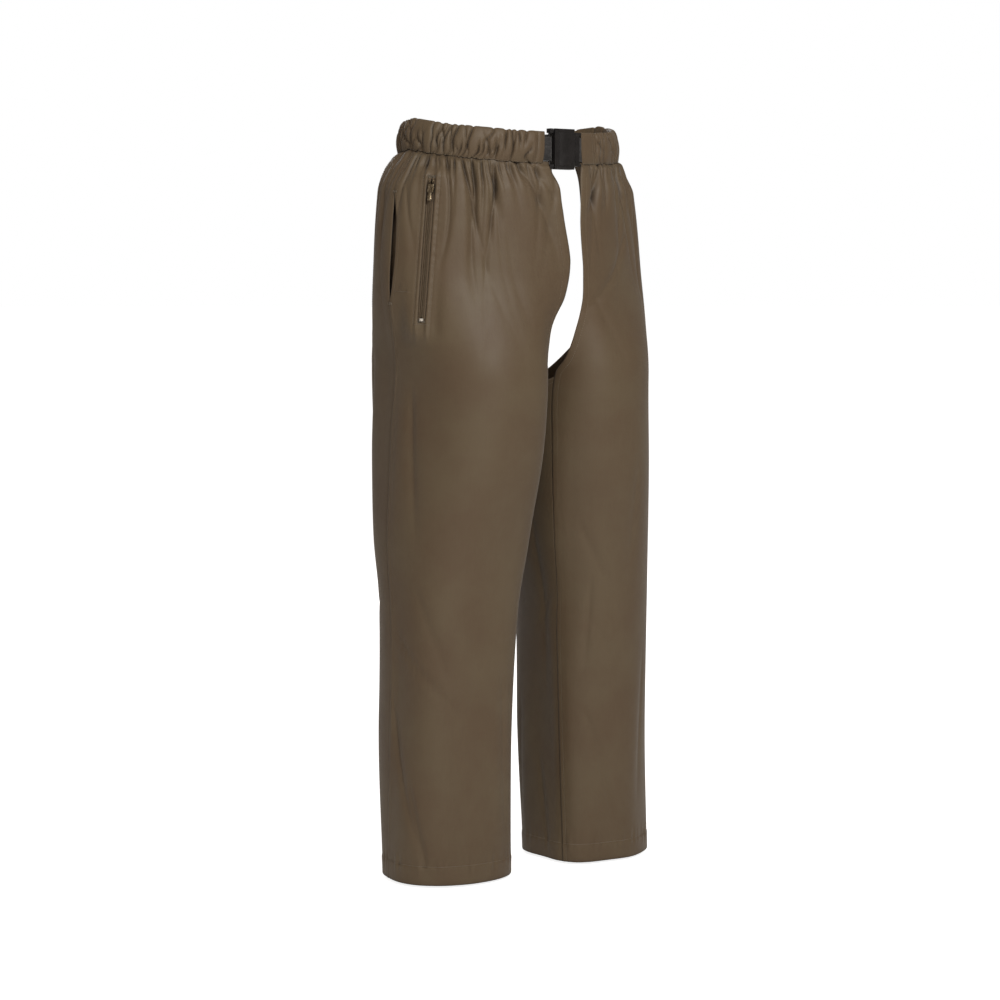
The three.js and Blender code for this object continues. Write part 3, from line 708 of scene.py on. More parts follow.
def edge_fold(degrees, edge, sign, width, rise):
    """A doubled strip of cloth along a seam or a free edge; the step is where it ends."""
    x = (degrees - edge) * ARC * sign
    stitched = 0.5 * np.exp(-(((x - width + 2) / 1.1) ** 2))
    return rise * (1 - smoothstep(x, width - 0.8, width + 1.2)) - stitched


def hem_relief(degrees, z, seed):
    """The doubled cloth of the hem, the groove of its stitching and the ripples beside it."""
    above = z - HEM_Z
    doubled = 0.7 * (1 - smoothstep(above, HEM_STITCH - 0.5, HEM_STITCH + 2))
    line = -0.7 * np.exp(-(((above - HEM_STITCH) / 1.4) ** 2))
    ripple = puckers(degrees, z, HEM_Z + HEM_STITCH, 11, 19, 0.42, seed)
    return doubled + line + ripple


def front_relief(side, degrees, z):
    """Height of a front panel's relief; side strips and seams stay flatter than the middle."""
    top = cloth_top(degrees)
    edge = edge_at(side, z)
    seam = seam_at(z)
    folds = RIGHT_FOLDS if side == "right" else LEFT_FOLDS
    inset = smoothstep((degrees - edge) * ARC, 0, 30) * smoothstep((seam - degrees) * ARC, 0, 24)
    joined = smoothstep((seam - degrees) * ARC, 0, 9)
    total = gather_relief(GATHERS[side], degrees, z, top) * joined
    total = total + long_folds(folds, degrees, z) * joined
    total = total + soft_drape(SEEDS[side], degrees, z) * smoothstep(top - z, 40, 260) * (0.25 + 0.75 * inset)
    total = total + edge_fold(degrees, seam, -1, 7.0, 0.5)
    total = total + edge_fold(degrees, edge, 1, 9.0, 0.5)
    return total + hem_relief(degrees, z, SEEDS[side])


def back_relief(side, degrees, z):
    """The same for a back panel."""
    key = "back_" + side
    top = cloth_top(np.minimum(degrees, 130))
    seam = seam_at(z)
    inner = 360 + edge_at(side, z)
    strip = 1 - smoothstep(degrees, 128, 150)
    total = gather_relief(GATHERS[key], degrees, z, top) * strip * smoothstep((degrees - seam) * ARC, 0, 9)
    inset = smoothstep((degrees - seam) * ARC, 0, 26) * smoothstep((inner - degrees) * ARC, 0, 26)
    total = total + long_folds(BACK_FOLDS, degrees, z) * (0.15 + 0.85 * inset)
    total = total + soft_drape(SEEDS[key], degrees, z) * smoothstep(-z, 90, 330) * (0.2 + 0.8 * inset)
    total = total - 0.2 * np.exp(-(degrees - seam) * ARC / 3.0)
    return total + hem_relief(degrees, z, SEEDS[key])


# ---------------------------------------------------------------- the zip's own frame
joints = {j["name"]: j for j in frame["joints"]}
zip_up = -unit(np.array(joints["zip_slide"]["axis"], float))
zip_across = -unit(np.array(joints["zip_pull_swing"]["axis"], float))
zip_out = np.cross(zip_across, zip_up)
tape_points = np.array([v.co for node in ("zip_tape_front", "zip_tape_rear")
                        for v in frame["nodes"][node].data.vertices], float) / MM
zip_local = tape_points @ np.stack([zip_across, zip_up, zip_out], axis=1)
ZIP_ORIGIN = (zip_across * (zip_local[:, 0].min() + zip_local[:, 0].max()) / 2
              + zip_up * zip_local[:, 1].min() + zip_out * zip_local[:, 2].max())
ZIP_LENGTH = float(np.ptp(zip_local[:, 1]))
SLOT_HALF = 4.7                   # half the width of the opening over the zip
ZIP_SEAM = 11.5                   # the zip is sewn in along this distance from its middle
SLOT_ENDS = (2.0, ZIP_LENGTH - 1.0)


def zip_point(s, along, height):
    s, along, height = (np.asarray(v, float)[..., None] for v in (s, along, height))
    return ZIP_ORIGIN + s * zip_across + along * zip_up + height * zip_out


def zip_angle(z, s=0.0):
    """Degrees round the right leg of the zip's line, at a height."""
    z = np.clip(z, ZIP_BOTTOM, ZIP_TOP)
    along = (z - ZIP_ORIGIN[2] - s * zip_across[2]) / zip_up[2]
    p = zip_point(s, along, 0.0)
    axis = at_height(LEG, z)
    return np.degrees(np.arctan2(axis[..., 0] - p[..., 0], axis[..., 1] - p[..., 1]))


def settle_on_zip(points, lift):
    """Brings the cloth round the zip to the zip's plane and raises a welt along each side."""
    local = (points - ZIP_ORIGIN) @ np.stack([zip_across, zip_up, zip_out], axis=1)
    s, along, height = np.moveaxis(local, -1, 0)
    ends = smoothstep(along, -34, -4) * (1 - smoothstep(along, ZIP_LENGTH + 1, ZIP_LENGTH + 17))
    near = np.exp(-((s / 25) ** 4)) * ends
    ripple = 0.35 * np.sin(along * 0.62 + 1.3 * np.sin(along * 0.17)) * np.exp(-(((np.abs(s) - 10) / 5) ** 2))
    welt = 0.9 + 1.5 * np.exp(-(((np.abs(s) - 7.6) / 2.4) ** 2)) + ripple
    seam = -0.7 * np.exp(-(((np.abs(s) - ZIP_SEAM) / 1.3) ** 2))
    target = welt + seam - 1.6 * smoothstep(np.abs(s), 9, 24)
    edge = -1.2 * (1 - smoothstep(np.abs(s), SLOT_HALF - 0.4, SLOT_HALF + 1.5))
    return points + zip_out * ((target + edge + lift - height) * near)[..., None]


# ---------------------------------------------------------------- front panels
def row_heights(steps):
    """Fractions down the panel from (millimetres, count) steps."""
    lengths = np.concatenate([np.full(count, size / count) for size, count in steps])
    down = np.concatenate([[0], np.cumsum(lengths)])
    return down / down[-1]


TUCKED_IN = 3.6                   # the panels reach this far up inside the casing's lower edge
FRONT_ROWS = row_heights([(60, 30), (90, 34), (130, 36), (600, 74), (62, 14), (28, 12)])
FOLD_ROWS = 7                     # extra rows that turn up inside the hem


def hem_turn():
    """(height above the hem, depth) of the outer and the inner skin round the hem's fold."""
    outer, inner = [], []
    for a in np.radians([-60, 0, 60]):
        for skin, radius in ((outer, 1.0), (inner, 0.2)):
            skin.append([1.0 - radius * math.cos(a), -1.0 - radius * math.sin(a)])
    for above in (1.0, 9.0, 17.0, 25.0):
        outer.append([above, -2.0])
        inner.append([above, -1.2])
    return np.array(outer), np.array(inner)


def panel_skins(degrees, z, place):
    """Outer and inner points of a panel, with its hem turned up inside."""
    last = degrees[-1]
    skins = []
    for lift, turns in zip((0.0, -SHELL), hem_turn()):
        skin = place(degrees, z, lift)
        skin[-1, :, 2] += 1.0
        turned = []
        for above, depth in turns:
            p = place(last, np.full_like(last, HEM_Z), depth)
            p[:, 2] = HEM_Z + above
            turned.append(p)
        skins.append(np.concatenate([skin, np.array(turned)]))
    return skins


def row_height(degrees, rough, bottom):
    """Height that a row laid out at a rough height has at a place round the leg."""
    share = (NEAR_TOP - rough) / (NEAR_TOP - bottom)
    return lerp(cloth_top(np.array(degrees)) + TUCKED_IN, bottom, share)


def slit_opening(z):
    t = np.clip((SLIT_TOP - z) / (SLIT_TOP - SLIT_BOTTOM), 0, 1)
    return SLIT_WIDTH * np.sin(math.pi * t) ** 0.6


SEAM_DEGREES = 85.0               # the outseam's place round the leg near the top
FRONT_SPLIT = (104, 4, 34)        # columns before, over and after the zip's line


def front_angles(side, z):
    """Degrees of every column at a height; the middle ones run beside the zip."""
    z = np.asarray(z, float)[..., None]
    before, over, after = FRONT_SPLIT
    edge = edge_at(side, z) + SEAM_GAP
    at_seam = row_height(SEAM_DEGREES, z, HEM_Z)
    at_zip = row_height(float(zip_angle(ZIP_TOP)), z, HEM_Z)
    seam = seam_at(at_seam) - SEAM_GAP - slit_opening(at_seam)
    low, high = zip_angle(at_zip, -SLOT_HALF), zip_angle(at_zip, SLOT_HALF)
    low, high = np.minimum(low, high), np.maximum(low, high)
    parts = [lerp(edge, low, np.linspace(0, 1, before + 1)),
             lerp(low, high, np.linspace(0, 1, over + 1))[..., 1:],
             lerp(high, seam, np.linspace(0, 1, after + 1))[..., 1:]]
    return np.concatenate(parts, axis=-1)


def place_front(side):
    def place(degrees, z, depth):
        relief = front_relief(side, degrees, z)
        points = offset_point(degrees, z, relief + depth)
        return settle_on_zip(points, depth) if side == "right" else points
    return place


def flat_uv(across, along):
    """Texture coordinates, in millimetres of cloth."""
    return np.stack(np.broadcast_arrays(across, along), axis=-1)


def cloth_uv(degrees, z):
    return flat_uv(degrees * ARC, z)


def panel_uv(degrees, z):
    """Cloth coordinates of a panel's points, with those of its turned hem."""
    degrees, z = (np.concatenate([v, np.repeat(v[-1:], FOLD_ROWS, axis=0)]) for v in (degrees, z))
    return cloth_uv(degrees, z)


measured = {}                     # area of each sheet, in square metres


def sheet_piece(name, side, outer, inner, uv, material, slot, replaced, body=None, flip=False, **part):
    """A closed sheet between two layers of points; the left side's is mirrored. It rides its side's half
    unless a body is given, and an empty one leaves that open."""
    grid = grid_faces(outer, **part)
    outer, inner, uv = outer.reshape(-1, 3), inner.reshape(-1, 3), uv.reshape(-1, 2)
    points, faces = thicken(outer, inner, grid)
    measured[name] = sheet_area(outer, grid)
    if flip:
        faces = faces[:, ::-1]
    points, faces = for_side(side, points, faces)
    piece = make_mesh(name, points, faces, np.concatenate([uv, uv]))
    return finish_piece(piece, material, f"{side}_half" if body is None else body, slot, [replaced])


def front_panel(side):
    rough = lerp(NEAR_TOP, HEM_Z, FRONT_ROWS)
    degrees = front_angles(side, rough)
    z = lerp(cloth_top(degrees) + TUCKED_IN, HEM_Z, FRONT_ROWS[:, None])
    outer, inner = panel_skins(degrees, z, place_front(side))
    keep = np.ones((len(outer) - 1, outer.shape[1] - 1), bool)
    if side == "right":
        before, over, _ = FRONT_SPLIT
        middle = outer[:len(FRONT_ROWS), before + over // 2]
        along = (middle - ZIP_ORIGIN) @ zip_up
        inside = (along > SLOT_ENDS[0]) & (along < SLOT_ENDS[1])
        for j in np.flatnonzero(inside[:-1] & inside[1:]):
            keep[j, before:before + over] = False
    return sheet_piece(f"shell_front_{side}", side, outer, inner, panel_uv(degrees, z), shell_cloth,
                       "shell_cloth", f"{side}_front_panel", keep=keep)


# ---------------------------------------------------------------- back panels
def bezier(controls, count):
    """Rows of a curve's two coordinates at even shares along it."""
    points = np.array(controls, float)[:, :, None]
    while len(points) > 1:
        points = lerp(points[:-1], points[1:], np.linspace(0, 1, count))
    return points[0]


# The seat's edge, as x and height, and the inner thigh's, as y and height.
SEAT_CURVE = bezier([[-187, -292], [-172, -305], [-160, -370], [-95, -380]], 60)
CROTCH_CURVE = bezier([[-98, CROTCH_TOP], [-40, -372], [40, -379]], 40)


def seat_angle(z):
    """Degrees at which the upper strip of the back panel ends, with a rounded corner above the thigh."""
    axis = at_height(LEG, z)
    half_width, half_depth, centre_y = np.moveaxis(at_height(BODY, z), -1, 0)
    x = -half_width * np.sqrt(1 - ((SEAT_Y - centre_y) / half_depth) ** 2)
    degrees = np.degrees(np.arctan2(axis[..., 0] - x, axis[..., 1] - SEAT_Y))
    return degrees + 5.0 * np.exp(-(z - SEAT_TOP) / 9.0)


def tube_top(degrees):
    """Height of the lower part's upper edge round the thigh."""
    z = np.full(np.shape(degrees), -340.0)
    for _ in range(5):
        p = surface_point(degrees, z)
        seat, crotch = np.interp(p[..., 0], *SEAT_CURVE), np.interp(p[..., 1], *CROTCH_CURVE)
        z = np.where(p[..., 0] < CROTCH_X, seat, crotch)
    return z


STRIP_ROWS = row_heights([(60, 26), (176, 42)])
TUBE_ROWS = row_heights([(30, 8), (560, 70), (62, 14), (28, 12)])
BACK_SPLIT = (34, 104)            # columns in the strip and in the rest of the tube


def back_grid(side):
    """Degrees and heights of every point; the strip's rows have no points beyond its last column."""
    narrow, wide = BACK_SPLIT
    corner = float(seat_angle(SEAT_TOP))
    share = np.linspace(0, 1, narrow + 1)
    rough = lerp(NEAR_TOP, SEAT_TOP, STRIP_ROWS)[:, None]
    seam = seam_at(row_height(SEAM_DEGREES, rough, SEAT_TOP)) + SEAM_GAP
    strip_angles = lerp(seam, seat_angle(rough), share)
    strip_z = lerp(cloth_top(strip_angles) + TUCKED_IN, SEAT_TOP, STRIP_ROWS[:, None])
    rough = lerp(SEAT_TOP, HEM_Z, TUBE_ROWS)[:, None]
    seam = seam_at(rough) + SEAM_GAP
    middle = lerp(corner, 150.0, smoothstep(-rough, -SEAT_TOP, 560))
    inner_edge = lerp(CROTCH_TOP, HEM_Z, TUBE_ROWS)[:, None]
    last = 360 + edge_at(side, inner_edge) - SEAM_GAP
    far = lerp(middle, last, np.linspace(0, 1, wide + 1)[1:])
    tube_angles = np.concatenate([lerp(seam, middle, share), far], axis=-1)
    first = tube_angles[0]
    top = np.where(np.arange(len(first)) <= narrow, SEAT_TOP, tube_top(first))
    tube_z = lerp(top, HEM_Z, TUBE_ROWS[:, None])
    filler = np.repeat(tube_angles[:1, narrow + 1:], len(STRIP_ROWS) - 1, axis=0)
    upper = np.concatenate([strip_angles[:-1], filler], axis=1)
    upper_z = np.concatenate([strip_z[:-1], np.repeat(top[None, narrow + 1:], len(upper), axis=0)], axis=1)
    return np.concatenate([upper, tube_angles]), np.concatenate([upper_z, tube_z])


def place_back(side):
    def place(degrees, z, depth):
        return offset_point(degrees, z, back_relief(side, degrees, z) + depth)
    return place


def back_panel(side):
    degrees, z = back_grid(side)
    outer, inner = panel_skins(degrees, z, place_back(side))
    keep = np.ones((len(outer) - 1, outer.shape[1] - 1), bool)
    keep[:len(STRIP_ROWS) - 1, BACK_SPLIT[0]:] = False
    return sheet_piece(f"shell_back_{side}", side, outer, inner, panel_uv(degrees, z), shell_cloth,
                       "shell_cloth", f"{side}_back_panel", keep=keep)


# ---------------------------------------------------------------- layers inside
def inset_layer(name, side, columns, rows, depths, thickness, material, slot, follow, replaced):
    """A sheet behind the front panel, between shares of its width and two heights."""
    share = np.linspace(columns[0], columns[1], 64)
    z = np.linspace(rows[0], rows[1], 110)[:, None]
    edge = edge_at(side, z)
    seam = seam_at(z)
    degrees = lerp(edge, seam, share)
    z = np.broadcast_to(z, degrees.shape)
    relief = front_relief(side, degrees, z) * follow
    top = offset_point(degrees, z, relief + depths)
    bottom = offset_point(degrees, z, relief + depths - thickness)
    return sheet_piece(name, side, top, bottom, cloth_uv(degrees, z), material, slot, replaced)


INSET = (1 / 12, 11 / 12)
PLY_TOP, LINING_TOP, INNER_END = -387.0, -340.0, -975.0
PLY_THICK, PLY_PITCH, LINING_THICK = 1.4, 1.8, 0.6


def inner_layers(side):
    made = []
    depth = -1.2
    for ply in (1, 2, 3):
        made.append(inset_layer(f"pad_ply_{side}_{ply}", side, INSET, (PLY_TOP, INNER_END), depth, PLY_THICK,
                                ply_cloth, "pad_fibre", 1.0, f"{side}_pad_ply_{ply}"))
        depth -= PLY_PITCH
    made.append(inset_layer(f"lining_{side}", side, INSET, (LINING_TOP, INNER_END), depth, LINING_THICK,
                            lining_cloth, "lining_cloth", 1.0, f"{side}_lining"))
    return made


FACING_DEPTH = 5.2                # the facing lies this far behind the slit


def slit_facing(side):
    z = np.linspace(SLIT_TOP + 14, SLIT_BOTTOM - 8, 50)[:, None]
    seam = seam_at(z)
    degrees = seam + np.linspace(-13, 9, 16)
    z = np.broadcast_to(z, degrees.shape)
    ripple = 0.5 * np.sin(z * 0.07 + degrees * 0.3)
    top = offset_point(degrees, z, ripple - FACING_DEPTH)
    bottom = offset_point(degrees, z, ripple - FACING_DEPTH - SHELL)
    return sheet_piece(f"slit_facing_{side}", side, top, bottom, cloth_uv(degrees, z), shell_cloth,
                       "shell_cloth", f"{side}_slit_facing")


# ---------------------------------------------------------------- waistband casings
CASING_STEPS = 300
LOOP = 44                         # points round the casing's section
CASING_CLOTH = 0.9                # thickness of its cloth


def band_length(degrees):
    """Length of the band from the front to each of these angles, in millimetres."""
    fine = np.linspace(0, 180, 721)
    p = band_point(fine, BAND_HEIGHT / 2, 0.0)
    run = np.concatenate([[0], np.cumsum(np.linalg.norm(np.diff(p, axis=0), axis=1))])
    return np.interp(degrees, fine, run)


def tucks(seed, first, last):
    """Creases of the gathered band: place, slant, bend, depth, width, and where down the band they run."""
    rng = np.random.default_rng(seed)
    rows = []
    at = first
    while at < last:
        kind = rng.random()
        middle = 0.5 if kind < 0.4 else (0.12 if kind < 0.7 else 0.9)
        reach = 0.75 if kind < 0.4 else rng.uniform(0.34, 0.6)
        slant = rng.normal(0, 7) if kind < 0.4 else rng.normal(0, 12)
        deep = rng.uniform(6.0, 10.0)
        rows.append([at, slant, rng.normal(0, 2.0), deep, rng.uniform(0.9, 1.6), middle, reach])
        if rng.random() < 0.4:
            bend, narrow = rng.normal(0, 2.0), rng.uniform(0.7, 1.2)
            rows.append([at + 2, -1.3 * slant, bend, 0.7 * deep, narrow, middle, reach])
        at += rng.uniform(5.0, 13.0)
    return rows


def tuck_relief(rows, run, down):
    """down is 0 at the band's upper edge and 1 at its lower edge."""
    total = 3.9 * np.sin(math.pi * np.clip(down, 0, 1)) ** 0.5
    for at, slant, bend, depth, width, middle, reach in rows:
        centre = at + slant * (down - middle) + bend * np.sin(3 * math.pi * down)
        fade = np.exp(-(np.abs(down - middle) / reach) ** 3)
        total = total - depth * fade * crease(run - centre, width)
    return np.log1p(np.exp((total + 2.2) / 0.6)) * 0.6 - 2.2


CALM = {"right": (12.0, 17.0), "left": (26.0, 34.0)}   # flat cloth beside the buckle, in millimetres
TUCKS = {"right": tucks(61, 34, 330), "left": tucks(67, 52, 330)}


def casing_section(side, degrees, turn):
    """A point on the middle of the casing's cloth; turn goes once round the section from 0 to 1."""
    run = band_length(degrees)
    start = band_length(CASING_FRONT[side])
    end = band_length(CASING_BACK)
    angle = turn * 2 * math.pi
    half = (BAND_HEIGHT / 2) + CASING_OVERHANG - 0.4
    flat = np.sign(np.cos(angle)) * np.abs(np.cos(angle)) ** 0.75
    down = 0.5 - 0.5 * flat
    bulge = np.abs(np.sin(angle)) ** np.where(flat > 0, 0.6, 1.0)
    outside = np.sin(angle) > 0
    tight = np.minimum(smoothstep(run - start, 0, 7), smoothstep(end - run, 0, 7))
    calm = smoothstep(run - start, *CALM[side]) * smoothstep(end - run, 2, 14)
    relief = tuck_relief(TUCKS[side], run, down)
    thick = lerp(1.9, 3.4, tight) * bulge
    distance = np.where(outside, thick + calm * relief * bulge, -thick - 0.45 * calm * relief * bulge)
    stitch = run - start - CALM[side][0] + 2
    distance = distance - np.where(outside, 0.9, -0.6) * np.exp(-((stitch / 1.2) ** 2)) * bulge
    scallop = calm * 0.7 * np.minimum(relief, 1.5) * (np.abs(flat) ** 8)
    half = half + np.where(flat > 0, scallop, 1.5 + 0.9 * scallop)
    depth = BAND_HEIGHT / 2 - flat * half
    return depth, distance


def casing(side):
    angles = np.linspace(CASING_FRONT[side], CASING_BACK, CASING_STEPS + 1)[:, None]
    turn = (np.arange(LOOP) / LOOP)[None, :]
    depth, distance = casing_section(side, angles, turn)
    middle = band_point(angles, depth, distance)
    after = np.roll(middle, -1, axis=1) - np.roll(middle, 1, axis=1)
    along = np.gradient(middle, axis=0)
    skin = unit(np.cross(after, along)) * CASING_CLOTH / 2
    return sheet_piece(f"waist_casing_{side}", side, middle + skin, middle - skin,
                       flat_uv(band_length(angles), turn * 110), shell_cloth, "shell_cloth",
                       f"{side}_waist_casing", flip=True, closed=True)


# ---------------------------------------------------------------- elastic and webbing
ELASTIC_RIBS = 15


def elastic_strip(name, angles, body, replaced, seed):
    """Ribbed elastic tape: lengthwise ribs, each a rounded ridge, and a slightly wavy edge."""
    across = ELASTIC_RIBS * 4
    rng = np.random.default_rng(seed)
    share = np.linspace(0, 1, across + 1)[None, :]
    degrees = angles[:, None]
    run = np.arange(len(angles))[:, None] * 2.5
    wave = 0.35 * np.sin(run * 0.21 + rng.uniform(0, 6)) + 0.25 * np.sin(run * 0.47 + share * 3)
    rib = 0.28 * np.abs(np.sin(math.pi * ELASTIC_RIBS * share)) ** 0.7
    depth = lerp(1.0, BAND_HEIGHT - 1.0, share) + 0.5 * np.sin(run * 0.12)
    outer = band_point(degrees, depth, 0.6 + rib + wave)
    inner = band_point(degrees, depth, -0.6 - rib + wave)
    return sheet_piece(name, "right", outer, inner, flat_uv(run, share * (BAND_HEIGHT - 2)), elastic_black,
                       "elastic", replaced, body, flip=True)


WEBBING_RIBS = 9


def webbing(side, direction, bar_x, mouth, replaced):
    """A strap folded round a buckle bar, with lengthwise ribs; both plies run into the casing."""
    half_width, half_depth, centre_y = at_height(BODY, BUCKLE[2])

    def midline(x):
        return centre_y - half_depth * np.sqrt(1 - (x / half_width) ** 2)

    far = direction * 53.0
    steps = np.linspace(far, mouth, 14)
    bar_y = BUCKLE[1] + 1.2
    turns = np.radians(np.linspace(-90, 90, 13))

    def line(gap, radius):
        front = [[x, midline(x) - gap] for x in steps]
        bend = [[bar_x - direction * radius * math.cos(a), bar_y + radius * math.sin(a)] for a in turns]
        back = [[x, midline(x) + gap] for x in steps[::-1]]
        return np.array(front + bend + back)

    across = WEBBING_RIBS * 4
    share = np.linspace(0, 1, across + 1)
    rib = 0.28 * np.abs(np.sin(math.pi * WEBBING_RIBS * share)) ** 0.8
    z = BUCKLE[2] + lerp(WEBBING_HALF, -WEBBING_HALF, share)
    skins = []
    for gap, radius, sign in ((1.15, 2.95, 1), (0.4, 2.2, -1)):
        path = line(gap, radius)
        tangent = unit(np.gradient(path, axis=0))
        normal = np.stack([-tangent[:, 1], tangent[:, 0]], axis=1) * direction
        outward = np.sign(((path - path.mean(axis=0)) * normal).sum(axis=1).mean()) or 1
        shifted = path[:, None, :] + normal[:, None, :] * (outward * sign * rib[None, :, None] * 0.6)
        height = np.broadcast_to(z[None, :, None], shifted.shape[:2] + (1,))
        skins.append(np.concatenate([shifted, height], axis=-1))
    run = np.arange(len(skins[0]))[:, None] * 2.6
    return sheet_piece(f"buckle_webbing_{side}", "right", *skins, flat_uv(run, share * 2 * WEBBING_HALF),
                       webbing_black, "webbing", replaced, f"{side}_half", flip=direction > 0)


# ---------------------------------------------------------------- stitching
def resample(points, normals, pitch):
    """Points, normals and directions at even steps along a line."""
    run = np.concatenate([[0], np.cumsum(np.linalg.norm(np.diff(points, axis=0), axis=1))])
    at = np.arange(pitch / 2, run[-1], pitch)
    where = np.stack([np.interp(at, run, points[:, k]) for k in range(3)], axis=1)
    normal = unit(np.stack([np.interp(at, run, normals[:, k]) for k in range(3)], axis=1))
    ahead = np.stack([np.interp(at + 0.5, run, points[:, k]) for k in range(3)], axis=1)
    behind = np.stack([np.interp(at - 0.5, run, points[:, k]) for k in range(3)], axis=1)
    return where, normal, unit(ahead - behind)


class Stitches:
    """Collects rows of sewn stitches, each one a small rounded bead of thread."""

    def __init__(self):
        self.points, self.faces, self.count = [], [], 0

    def row(self, points, normals, pitch=3.3, length=2.5, width=0.5, height=0.32):
        where, normal, along = resample(points, normals, pitch)
        side = np.cross(along, normal)
        ring = []
        for step, size in ((-0.5, 0.15), (-0.22, 1.0), (0.22, 1.0), (0.5, 0.15)):
            middle = where + along * (length * step)
            ring.append([middle + side * (width / 2 * size), middle + normal * (height * size),
                         middle - side * (width / 2 * size), middle - normal * (0.12 * size)])
        made = np.array(ring).transpose(2, 0, 1, 3).reshape(-1, 16, 3)
        offsets = self.count + np.arange(len(made)) * 16
        self.faces.append((tube_faces(4)[None] + offsets[:, None, None]).reshape(-1, 4))
        self.points.append(made.reshape(-1, 3))
        self.count += len(made) * 16

    def make(self, name, side):
        piece = make_mesh(name, *for_side(side, np.concatenate(self.points), np.concatenate(self.faces)))
        return finish_piece(piece, thread_brown, f"{side}_half", "shell_cloth")


SEAM_STITCH, EDGE_STITCH = 5.0, 7.0   # distance of a row of stitches from a seam and from a free edge
STITCH_LIFT = 0.12                # the thread lies this far above the cloth
CASING_STITCH_LIFT = 0.55         # and this far from the middle of the casing's cloth
ROW_TOP, EDGE_ROW_TOP = -75.0, -82.0   # where the rows down the cloth and down its free edge start
CASING_ROWS = (0.445, 0.555)      # places round the casing's section of the two rows along it
BOX_LIFT, BAR_LIFT = 0.15, 0.4    # lift of the zip's rows and of the bars at its ends


def down_line(rule, top, bottom, place):
    """A line of points down the cloth; rule gives its degrees at a height."""
    z = np.linspace(top, bottom, int(abs(top - bottom) / 2) + 2)
    degrees = rule(z)
    return place(degrees, z, STITCH_LIFT), surface_normal(degrees, z)


def round_line(first, last, height, place, lift=STITCH_LIFT):
    """A line of points round the leg; height is one for all or a rule that gives it at its degrees."""
    degrees = np.linspace(first, last, int(abs(last - first)) + 2)
    z = height(degrees) if callable(height) else np.full_like(degrees, height)
    return place(degrees, z, lift), surface_normal(degrees, z)


def casing_line(side, degrees, turn):
    """A line of points on the casing, along it or across it."""
    degrees, turn = np.broadcast_arrays(degrees, turn)
    depth, distance = casing_section(side, degrees, turn)
    outwards = np.sign(distance)
    step = band_point(degrees, depth, distance + 1.0) - band_point(degrees, depth, distance)
    line = band_point(degrees, depth, distance + outwards * CASING_STITCH_LIFT)
    return line, unit(step) * outwards[:, None]


def stitch_side(side):
    thread_rows = Stitches()
    front, back = place_front(side), place_back(side)
    hem, corner = HEM_Z + HEM_STITCH, float(seat_angle(SEAT_TOP))
    last = HEM_Z + 2

    def edge(z):
        return edge_at(side, z)

    def below_seat(degrees):
        return tube_top(np.maximum(degrees, corner)) - EDGE_STITCH

    for line in (down_line(lambda z: seam_at(z) - SEAM_STITCH / ARC - slit_opening(z), ROW_TOP, last, front),
                 down_line(lambda z: edge(z) + EDGE_STITCH / ARC, EDGE_ROW_TOP, last, front),
                 round_line(edge(hem) + 1, seam_at(hem) - 1, hem, front),
                 round_line(seam_at(hem) + 1, 359 + edge(hem), hem, back),
                 down_line(lambda z: seat_angle(z) - EDGE_STITCH / ARC, ROW_TOP, SEAT_TOP - 2, back),
                 round_line(corner - EDGE_STITCH / ARC, 359 + float(edge(-350.0)), below_seat, back)):
        thread_rows.row(*line)
    degrees = np.linspace(CASING_FRONT[side] + 0.5, CASING_BACK - 0.5, 400)
    for turn in CASING_ROWS:
        thread_rows.row(*casing_line(side, degrees, turn), pitch=3.0)
    for extra in ((0.0,) if side == "right" else (-3.0, 1.5)):
        at = band_length(CASING_FRONT[side]) + CALM[side][0] - 2 + extra
        angle = np.interp(at, band_length(np.linspace(5, 60, 200)), np.linspace(5, 60, 200))
        thread_rows.row(*casing_line(side, angle, np.linspace(0.06, 0.44, 60)), pitch=2.6)
    for z in (SLIT_TOP + 3, SLIT_BOTTOM - 3):
        for shift in np.linspace(-1.2, 1.2, 5):
            middle = float(seam_at(z))
            tack = round_line(middle - 2.6, middle + 1.6, z + shift, front, 0.3)
            thread_rows.row(*tack, pitch=1.5, length=1.7)
    if side == "right":
        add_zip_stitches(thread_rows)
    return thread_rows.make(f"stitching_{side}", side)


POCKET_ROW = (66, 81, -236, 0.12)     # the row under the pocket: degrees, height and its slope


def add_zip_stitches(thread_rows):
    """A box of stitches round the zip, a bar at each end, and the line under the pocket."""
    def sew(s, along, lift, **size):
        s, along = np.broadcast_arrays(np.asarray(s, float), np.asarray(along, float))
        line = settle_on_zip(zip_point(s, along, np.zeros(s.shape)), lift)
        thread_rows.row(line, np.repeat(zip_out[None], len(line), axis=0), **size)

    reach = (-3.5, ZIP_LENGTH + 2.5)
    for s in (-ZIP_SEAM, ZIP_SEAM):
        sew(s, np.linspace(*reach, 120), BOX_LIFT)
    for end in reach:
        sew(np.linspace(-ZIP_SEAM, ZIP_SEAM, 30), end, BOX_LIFT)
    for end in (SLOT_ENDS[0] - 1.5, SLOT_ENDS[1] + 1.5):
        for step in np.linspace(-1.3, 1.3, 5):
            sew(np.linspace(-5.2, 5.2, 12), end + step, BAR_LIFT, pitch=1.6, length=1.9)
    first, last, height, slope = POCKET_ROW
    thread_rows.row(*round_line(first, last, lambda degrees: height + (degrees - first) * slope,
                                place_front("right"), BOX_LIFT))


# ---------------------------------------------------------------- zip
TAPE_INNER, TAPE_OUTER = 0.9, 7.2     # a tape's edges, from the middle of the zip
TAPE_THICK = 0.7
TOOTH_PITCH = 1.25


